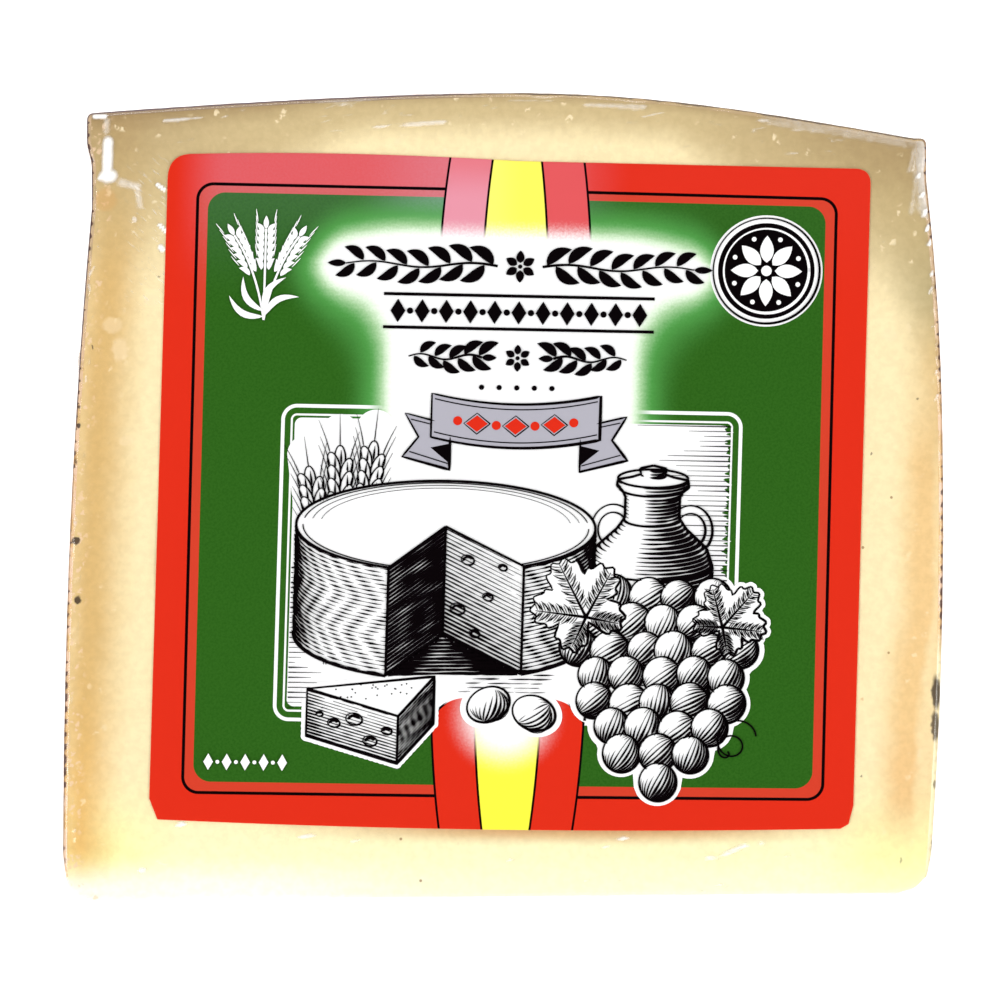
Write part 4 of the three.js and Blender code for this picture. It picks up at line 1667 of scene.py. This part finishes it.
def draw_panel_lines(drawing):
    """Fine level lines that break off unevenly, over the right and the lower left of the
    panel."""
    draw = np.random.default_rng(5)
    for row, height in enumerate(np.arange(8.0, -13.0, -0.57)):
        reach = draw.uniform(3.0, 12.5) * (1 - 0.3 * (row % 2))
        line = level(np.linspace(24.9, 24.9 - reach, 24), height)
        drawing.draw(line, np.linspace(0.15, 0.05, 24) * draw.uniform(0.6, 1.1))
    for height in np.arange(-9.0, -25.0, -0.57):
        reach = draw.uniform(1.0, 4.5)
        line = level(np.linspace(-24.6, -24.6 + reach, 12), height)
        drawing.draw(line, np.linspace(0.18, 0.05, 12) * draw.uniform(0.4, 1.1))


def draw_churn(drawing):
    """A milk churn: a turned shape whose level rings thicken away from the light."""
    middle, flat = 16.2, 0.26
    heights = np.array((3.4, 3.2, 2.6, 2.2, 1.9, 1.0, 0.6, -0.2, -2.6, -3.8, -6.0, -8.0, -26.0))
    widths = np.array((0.0, 1.4, 1.5, 1.2, 4.0, 4.1, 3.5, 3.1, 3.1, 3.9, 6.3, 7.0, 7.0))

    def radius(height):
        return np.interp(-height, -heights, widths)

    side = np.linspace(3.4, -26.0, 90)
    right = np.column_stack((middle + radius(side), side))
    left = np.column_stack((middle - radius(side), side))
    silhouette = np.concatenate((left, right[::-1]))
    for side in (-1, 1):
        for reach in (2.5, 1.7):
            outlined(drawing, oval((middle + side * 4.4, -4.0), (reach, reach * 1.15)), 0.26)
    drawing.cover(silhouette)

    def tone(along, across):
        lit = np.exp(-(((along - 0.30) / 0.13) ** 2))
        lit = lit + 0.5 * np.exp(-(((along - 0.9) / 0.05) ** 2))
        core = 0.34 + 0.62 * step_up(along, 0.35, 0.82)
        return core - 0.62 * lit + 0.25 * step_up(-along, -0.12, -0.02)

    def turned(top, bottom):
        def surface(along, across):
            height = top + (bottom - top) * across
            turn = math.pi * along
            x = middle - radius(height) * np.cos(turn)
            return np.stack((x, height - flat * radius(height) * np.sin(turn)), -1)

        return surface

    hatch(drawing, turned(0.4, -2.9), tone, 8, 50, 41, 0.9)
    hatch(drawing, turned(-3.0, -8.0), tone, 12, 60, 42, 0.86)
    hatch(drawing, turned(-8.0, -25.0), tone, 36, 60, 43, 0.84)
    hatch(drawing, turned(3.3, 2.1), tone, 3, 30, 44, 0.7)
    hatch(drawing, turned(1.9, 0.9), tone, 3, 50, 45, 0.9)
    for line in (left, right):
        drawing.draw(line, 0.3)
    for height, start in ((1.9, 0.0), (0.8, 180.0), (-2.8, 180.0), (-8.0, 180.0), (-12.4, 180.0)):
        reach = radius(np.array(height))
        ring = oval((middle, height), (reach, reach * flat), start, 360.0, 48)
        drawing.draw(ring, 0.26)


def draw_wheel(drawing):
    """A wheel of cheese with a wedge cut out of it: level lines round its side, thickened in
    slanted strands, and two cut faces with small holes."""
    middle = np.array((-7.2, -4.0))
    radii = np.array((17.0, 5.2))
    height = 12.4
    cut = (-112.0, -58.0)
    drop = np.array((0.0, -height))
    low = oval(middle + drop, radii, 180.0, 360.0, 40)
    drawing.cover(np.concatenate((oval(middle, radii, 0.0, 180.0, 40), low)))

    def side_of(start, stop):
        def surface(along, across):
            angle = np.radians(start + (stop - start) * along)
            return middle + radii * polar(angle) + drop * across[..., None]

        return surface

    def tone_of(start, stop):
        def tone(along, across):
            angle = start + (stop - start) * along
            round_way = np.radians(angle) * 6.4
            zig = np.abs((across * 3 % 2) - 1) * 1.5
            strand = np.abs(np.sin(math.pi * (round_way + zig)))
            shade = 0.20 + 0.5 * step_up(angle, -75, -8) + 0.42 * step_up(-angle, 140, 178)
            return shade + 0.34 * (1 - strand) - 0.1

        return tone

    for start, stop, seed in ((-180.0, cut[0], 51), (cut[1], 0.0, 52)):
        hatch(drawing, side_of(start, stop), tone_of(start, stop), 27, 70, seed, 0.86)
        edge = oval(middle, radii, start, stop, 40)
        drawing.draw(edge, 0.30)
        drawing.draw(edge + drop, 0.34)
        inner = oval(middle, radii * 0.955, start, stop, 40)
        drawing.draw(inner, 0.14)
    for share, width in ((0.955, 0.13), (0.90, 0.08), (0.84, 0.07)):
        drawing.draw(oval(middle, radii * share, 8.0, 172.0, 60), width)
    drawing.draw(oval(middle, radii, 0.0, 180.0, 60), 0.30)
    corners = [middle + radii * polar(math.radians(angle)) for angle in cut]
    left_wall = four_sided(corners[0] + drop, middle + drop, corners[0], middle)
    right_wall = four_sided(middle + drop, corners[1] + drop, middle, corners[1])
    floor = four_sided(corners[0] + drop, corners[1] + drop, middle + drop, middle + drop)

    def lit_wall(along, across):
        return 0.10 + 0.34 * (1 - across) ** 2 + 0.2 * (1 - along)

    hatch(drawing, left_wall, lambda along, across: 0.62 + 0.2 * along, 26, 16, 53, 0.85)
    hatch(drawing, right_wall, lit_wall, 26, 30, 54, 0.7)
    hatch(drawing, floor, lambda along, across: 0.72 + 0 * along, 11, 24, 55, 0.9)
    for corner in corners:
        drawing.draw(np.linspace(middle, corner, 20), 0.26)
        drawing.draw(np.linspace(corner, corner + drop, 30), 0.3)
        drawing.draw(np.linspace(middle + drop, corner + drop, 20), 0.22)
    drawing.draw(np.linspace(middle, middle + drop, 30), 0.3)
    for x, y, wide in ((2.6, -3.8, 0.75), (5.0, -8.0, 0.6), (1.6, -9.4, 0.85), (6.6, -4.6, 0.5),
                       (3.6, -12.2, 0.6)):
        hole = oval(middle + (x, y), (wide, wide * 0.72), turned=-20)
        outlined(drawing, hole, 0.18)
        drawing.draw(oval(middle + (x, y), (wide * 0.62, wide * 0.45), 20, 200, 14), 0.28)


def draw_slice(drawing):
    """A slice lying in front: a clear top, a cut face with holes and a rind end."""
    tip, back, front = (np.array(p) for p in ((-22.4, -22.8), (-8.0, -21.2), (-12.0, -25.8)))
    drop = np.array((0.0, -5.4))
    outline = edge_points((tip + drop, front + drop, back + drop, back, tip))
    drawing.cover(outline)
    face = four_sided(tip + drop, front + drop, tip, front)
    rind = four_sided(front + drop, back + drop, front, back)

    def face_tone(along, across):
        return 0.16 + 0.36 * (1 - across) ** 1.5 + 0.3 * step_up(-along, -0.25, 0.0)

    def rind_tone(along, across):
        strand = np.abs(np.sin(math.pi * (along * 6 + np.abs((across * 3 % 2) - 1) * 0.8)))
        return 0.30 + 0.32 * (1 - strand) + 0.12 * along

    hatch(drawing, face, face_tone, 15, 70, 61, 0.7)
    hatch(drawing, rind, rind_tone, 15, 36, 62, 0.9)
    outlined(drawing, outline, 0.3)
    for first, last in ((tip, front), (front, back), (front, front + drop)):
        drawing.draw(np.linspace(first, last, 30), 0.28)
    draw = np.random.default_rng(7)
    for along, across, wide in ((0.30, 0.45, 0.7), (0.52, 0.66, 0.95), (0.70, 0.30, 0.8),
                                (0.88, 0.62, 0.6), (0.14, 0.55, 0.4)):
        at = face(np.array(along), np.array(across))
        outlined(drawing, oval(at, (wide, wide * 0.7), turned=-12), 0.18)
        drawing.draw(oval(at, (wide * 0.6, wide * 0.42), 10, 190, 14), 0.34)
    specks = tip + (back - tip) * draw.uniform(0.25, 0.9, (26, 1))
    across = draw.uniform(0.1, 0.8, (26, 1))
    specks = specks + (front - back) * across * draw.uniform(0.2, 0.9, (26, 1))
    dots(drawing, specks, 0.09)
    return halo(outline, 0.6)


def draw_vine_leaf(drawing, centre, size, turned):
    """A lobed leaf with veins and light hatching between them."""
    angle = np.radians(np.linspace(0, 360, 121)[:-1])
    lobes = np.abs(np.cos(2.5 * (angle - math.pi / 2))) ** 0.7
    radius = size * (0.62 + 0.38 * lobes + 0.05 * np.sin(angle * 23))
    radius *= 1 - 0.35 * np.exp(-(((angle - math.radians(270)) / 0.22) ** 2))
    turn = math.radians(turned)
    outline = centre + radius[:, None] * polar(angle + turn)
    drawing.cover(outline)
    root = centre + 0.32 * size * polar(turn - math.pi / 2)
    for vein in (90.0, 162.0, 18.0, 234.0, 306.0):
        tip = centre + 0.93 * size * polar(math.radians(vein) + turn)
        share = np.linspace(0, 1, 20)[:, None]
        drawing.draw(root + (tip - root) * share, np.linspace(0.34, 0.08, 20))
        twigs = root + (tip - root) * np.linspace(0.25, 0.85, 5)[:, None]
        way = math.degrees(math.atan2(*(tip - root)[::-1]))
        for side in (-1, 1):
            leaves(drawing, twigs, np.full(5, way + side * 42), size * 0.34, 0.16, 0.05 * side)
            fine = root + (tip - root) * np.linspace(0.15, 0.95, 16)[:, None]
            leaves(drawing, fine, np.full(16, way + side * 58), size * 0.24, 0.10, 0.02 * side)
    outlined(drawing, outline, 0.24)
    return halo(outline, 0.55, centre)


def draw_grapes(drawing):
    """A bunch of grapes: rows that narrow to the bottom, each grape shaded on its own."""
    draw = np.random.default_rng(11)
    counts = (4, 5, 6, 5, 5, 4, 3, 1)
    centres = []
    for row, count in enumerate(counts):
        for place in range(count):
            x = 17.6 + (place - (count - 1) / 2) * 3.75 + draw.normal(0, 0.22)
            centres.append((x, -11.6 - row * 3.02 + draw.normal(0, 0.2)))
    for number, centre in enumerate(centres):
        size = draw.uniform(1.98, 2.22)
        shaded_ball(drawing, np.array(centre), (size, size * 1.04), draw.uniform(-30, 30),
                    draw.uniform(0.14, 0.32), 100 + number)
    return halo(np.array(centres), 2.75, (17.4, -20.0))


def draw_ground(drawing):
    """Short level strokes under the wheel that thin out towards the front."""
    draw = np.random.default_rng(17)
    for height in np.arange(-20.4, -23.6, -0.5):
        for start in np.arange(-4.5, 5.0, 2.6):
            first = start + draw.uniform(-1.0, 1.0)
            reach = draw.uniform(1.2, 3.4)
            stroke = np.linspace((first, height), (first + reach, height + 0.05), 9)
            full = 0.3 * (1 + (height + 20.4) / 4.0) * draw.uniform(0.5, 1.0)
            drawing.draw(stroke, full * np.sin(np.linspace(0.25, math.pi - 0.05, 9)))


def draw_still_life(patches, black):
    """Wheat, a churn, a cut wheel, grapes, a slice and olives, from back to front."""
    draw_panel_lines(black)
    for foot, head in (((-20.5, -20.0), (-22.6, 0.2)), ((-19.0, -20.0), (-19.4, 2.6)),
                       ((-17.0, -18.0), (-15.8, 3.2))):
        patches.append((engraved_ear(black, foot, head, 7, 2.6), "paper"))
    draw_churn(black)
    draw_wheel(black)
    draw_ground(black)
    patches.append((draw_grapes(black), "paper"))
    for centre, turned in (((-1.8, -24.3), 25), ((3.4, -25.2), -20)):
        centre = np.array(centre)
        patches.append((oval(centre, (3.3, 2.7), turned=turned), "paper"))
        shaded_ball(black, centre, (2.5, 1.95), turned, 0.05, int(centre[0] * 10) + 200)
    patches.append((draw_slice(black), "paper"))
    patches.append((draw_vine_leaf(black, np.array((8.2, -12.6)), 5.4, 28.0), "paper"))
    patches.append((draw_vine_leaf(black, np.array((25.4, -14.0)), 4.2, -40.0), "paper"))
    tendril = np.linspace(0, 1, 70)[:, None]
    coil = 2.2 * (1 - 0.75 * tendril) * polar(13 * tendril[:, 0])
    black.draw(np.array((26.5, -27.5)) + (-1.5, -2.0) * tendril + coil, 0.2)


def ink_finish(name, tint):
    """Printing ink: even colour with a slight sheen that varies."""
    finish = Finish(name)
    rub = finish.noise(finish.place(), 1.5, 1.0)
    shader = finish.coated(
        Base_Color=(*tint, 1.0), Roughness=0.52 + rub * 0.14, Specular_IOR_Level=0.02
    )
    return finish.done(shader)


def make_ornaments(sizes, inks):
    """Everything printed in lines and patches: patches lie one ink step over each other in
    the order that they were laid, and all lines lie above them."""
    patches = []
    black, white, red = Drawing(), Drawing(), Drawing()
    draw_title_ornament(black)
    draw_rosette(patches, black, white)
    draw_small_ornaments(white)
    draw_still_life(patches, black)
    draw_ribbon(patches, black, red)
    top = LABEL_LIFT + millimetres(sizes.label_thickness)
    step = millimetres(sizes.ink_step)
    drawings = {"black": black, "paper": white, "red": red}
    for ink in ("paper", "black", "grey", "red"):
        points, faces, start = [], [], 0
        for level, (outline, kind) in enumerate(patches):
            if kind == ink:
                points.append(on_label(outline, top + (level + 1) * step))
                faces.append(np.arange(len(outline)) + start)
                start += len(outline)
        if ink in drawings:
            places, squares, order = drawings[ink].ribbons()
            rise = order * step * (0.0 if ink == "black" else 0.1)
            points.append(on_label(places, top + (INK_LEVEL + len(patches)) * step + rise))
            faces.append(squares + start)
        finish = ink_finish(f"ink_{ink}", getattr(inks, ink))
        new_piece(f"print_{ink}", np.concatenate(points), faces, finish)


# Stage


def make_stage():
    """A pale floor that curves up into a low wall all round, lit from below as well as from
    above, three soft lights and the camera square on to the labelled face."""
    finish = Finish("pale_floor")
    surface = finish.coated(
        Base_Color=(0.6, 0.6, 0.6, 1.0),
        Roughness=0.8,
        Specular_IOR_Level=0.1,
        Emission_Color=(1.0, 1.0, 1.0, 1.0),
        Emission_Strength=0.85,
    )
    material = finish.done(surface)
    material.cycles.emission_sampling = "NONE"
    bend = np.linspace(0, math.pi / 2, 13)[1:]
    flat = np.linspace(0, FLOOR_RADIUS, 12)
    radii = np.concatenate((flat, FLOOR_RADIUS + WALL_REACH * np.sin(bend)))
    rises = np.concatenate((0 * flat, WALL_RISE * (1 - np.cos(bend))))
    turns = np.linspace(0, 2 * math.pi, 97)[:-1]
    flat_places = radii[1:, None, None] * polar(turns)
    heights = np.repeat(rises[1:], len(turns))
    points = np.column_stack((flat_places.reshape(-1, 2), heights)) * MM
    number = np.arange(len(points)).reshape(-1, len(turns))
    mesh = bpy.data.meshes.new("floor")
    mesh.from_pydata(points.tolist(), [], [number[0].tolist(), *ring_squares(number).tolist()])
    mesh.shade_smooth()
    mesh.materials.append(material)
    placed("floor", mesh)

    face_centre = (on_cut_face(*VIEW_CENTRE, 0.0) + PACK_SHIFT) * MM
    facing = np.array((0.0, *polar(WEDGE_ANGLE + math.pi / 2)))
    target = Vector(face_centre)

    def light(name, place, size, power):
        lamp = bpy.data.lights.new(name, "AREA")
        lamp.shape = "RECTANGLE"
        lamp.size, lamp.size_y = size
        lamp.energy = power
        holder = placed(name, lamp)
        holder.location = place
        holder.rotation_euler = (target - Vector(place)).to_track_quat("-Z", "Y").to_euler()

    light("left_light", (-0.75, -0.55, 0.75), (0.45, 0.45), 5.2)
    light("right_light", (0.8, -0.35, 0.7), (0.45, 0.45), 4.6)
    light("top_light", (-0.1, 0.45, 0.85), (0.5, 0.2), 2.3)

    world = bpy.data.worlds.new("studio")
    world.use_nodes = True
    sky = world.node_tree.nodes["Background"]
    sky.inputs["Color"].default_value = (1.0, 1.0, 1.0, 1.0)
    sky.inputs["Strength"].default_value = 0.2
    bpy.context.scene.world = world
    bpy.context.scene.view_settings.view_transform = "Standard"

    lens = bpy.data.cameras.new("camera")
    lens.lens = LENS
    lens.sensor_width = SENSOR
    camera = placed("camera", lens)
    distance = VIEW_WIDTH * MM * LENS / SENSOR
    camera.location = Vector(face_centre + facing * distance)
    camera.rotation_euler = (WEDGE_ANGLE, 0.0, 0.0)
    lens.clip_start = 0.01
    bpy.context.scene.camera = camera


# Operators


class CHEESE_OT_paste(Operator):
    """Make the paste of the cheese"""

    bl_idname = "cheese.paste"
    bl_label = "Paste"

    def execute(self, context):
        make_paste(context.scene.cheese_sizes, context.scene.cheese_colours)
        return {"FINISHED"}


class CHEESE_OT_rind(Operator):
    """Make the rind with the mould's imprint"""

    bl_idname = "cheese.rind"
    bl_label = "Rind"

    def execute(self, context):
        make_rind(context.scene.cheese_sizes, context.scene.cheese_colours)
        return {"FINISHED"}


class CHEESE_OT_film(Operator):
    """Make the clear film with its creases"""

    bl_idname = "cheese.film"
    bl_label = "Film"

    def execute(self, context):
        make_film(context.scene.cheese_sizes, context.scene.cheese_colours)
        return {"FINISHED"}


class CHEESE_OT_label(Operator):
    """Make the printed label"""

    bl_idname = "cheese.label"
    bl_label = "Label"

    def execute(self, context):
        make_label(context.scene.cheese_sizes, context.scene.print_colours)
        return {"FINISHED"}


class CHEESE_OT_print(Operator):
    """Make the engraving and the ornaments printed on the label"""

    bl_idname = "cheese.print"
    bl_label = "Print"

    def execute(self, context):
        make_ornaments(context.scene.cheese_sizes, context.scene.print_colours)
        return {"FINISHED"}


class CHEESE_OT_stage(Operator):
    """Make the floor, the lights and the camera"""

    bl_idname = "cheese.stage"
    bl_label = "Stage"

    def execute(self, context):
        make_stage()
        return {"FINISHED"}


STEPS = (
    CHEESE_OT_stage,
    CHEESE_OT_paste,
    CHEESE_OT_rind,
    CHEESE_OT_film,
    CHEESE_OT_label,
    CHEESE_OT_print,
)


class CHEESE_PT_sidebar(Panel):
    """Lists the pieces of the wedge"""

    bl_label = "Cheese wedge"
    bl_space_type = "VIEW_3D"
    bl_region_type = "UI"
    bl_category = "Cheese"

    def draw(self, context):
        for step in STEPS:
            self.layout.operator(step.bl_idname)
        for group in ("cheese_sizes", "cheese_colours", "print_colours"):
            box = self.layout.box()
            settings = getattr(context.scene, group)
            for name in settings.__annotations__:
                box.prop(settings, name)


GROUPS = {
    "cheese_sizes": CheeseSizes,
    "cheese_colours": CheeseColours,
    "print_colours": PrintColours,
}


def register():
    for kind in (*GROUPS.values(), *STEPS, CHEESE_PT_sidebar):
        bpy.utils.register_class(kind)
    for name, kind in GROUPS.items():
        setattr(bpy.types.Scene, name, PointerProperty(type=kind))


def unregister():
    for name in GROUPS:
        delattr(bpy.types.Scene, name)
    for kind in reversed((*GROUPS.values(), *STEPS, CHEESE_PT_sidebar)):
        bpy.utils.unregister_class(kind)


def main():
    register()
    bpy.ops.cheese.stage()
    bpy.ops.cheese.paste()
    bpy.ops.cheese.rind()
    bpy.ops.cheese.film()
    bpy.ops.cheese.label()
    bpy.ops.cheese.print()


if __name__ == "__main__":
    main()
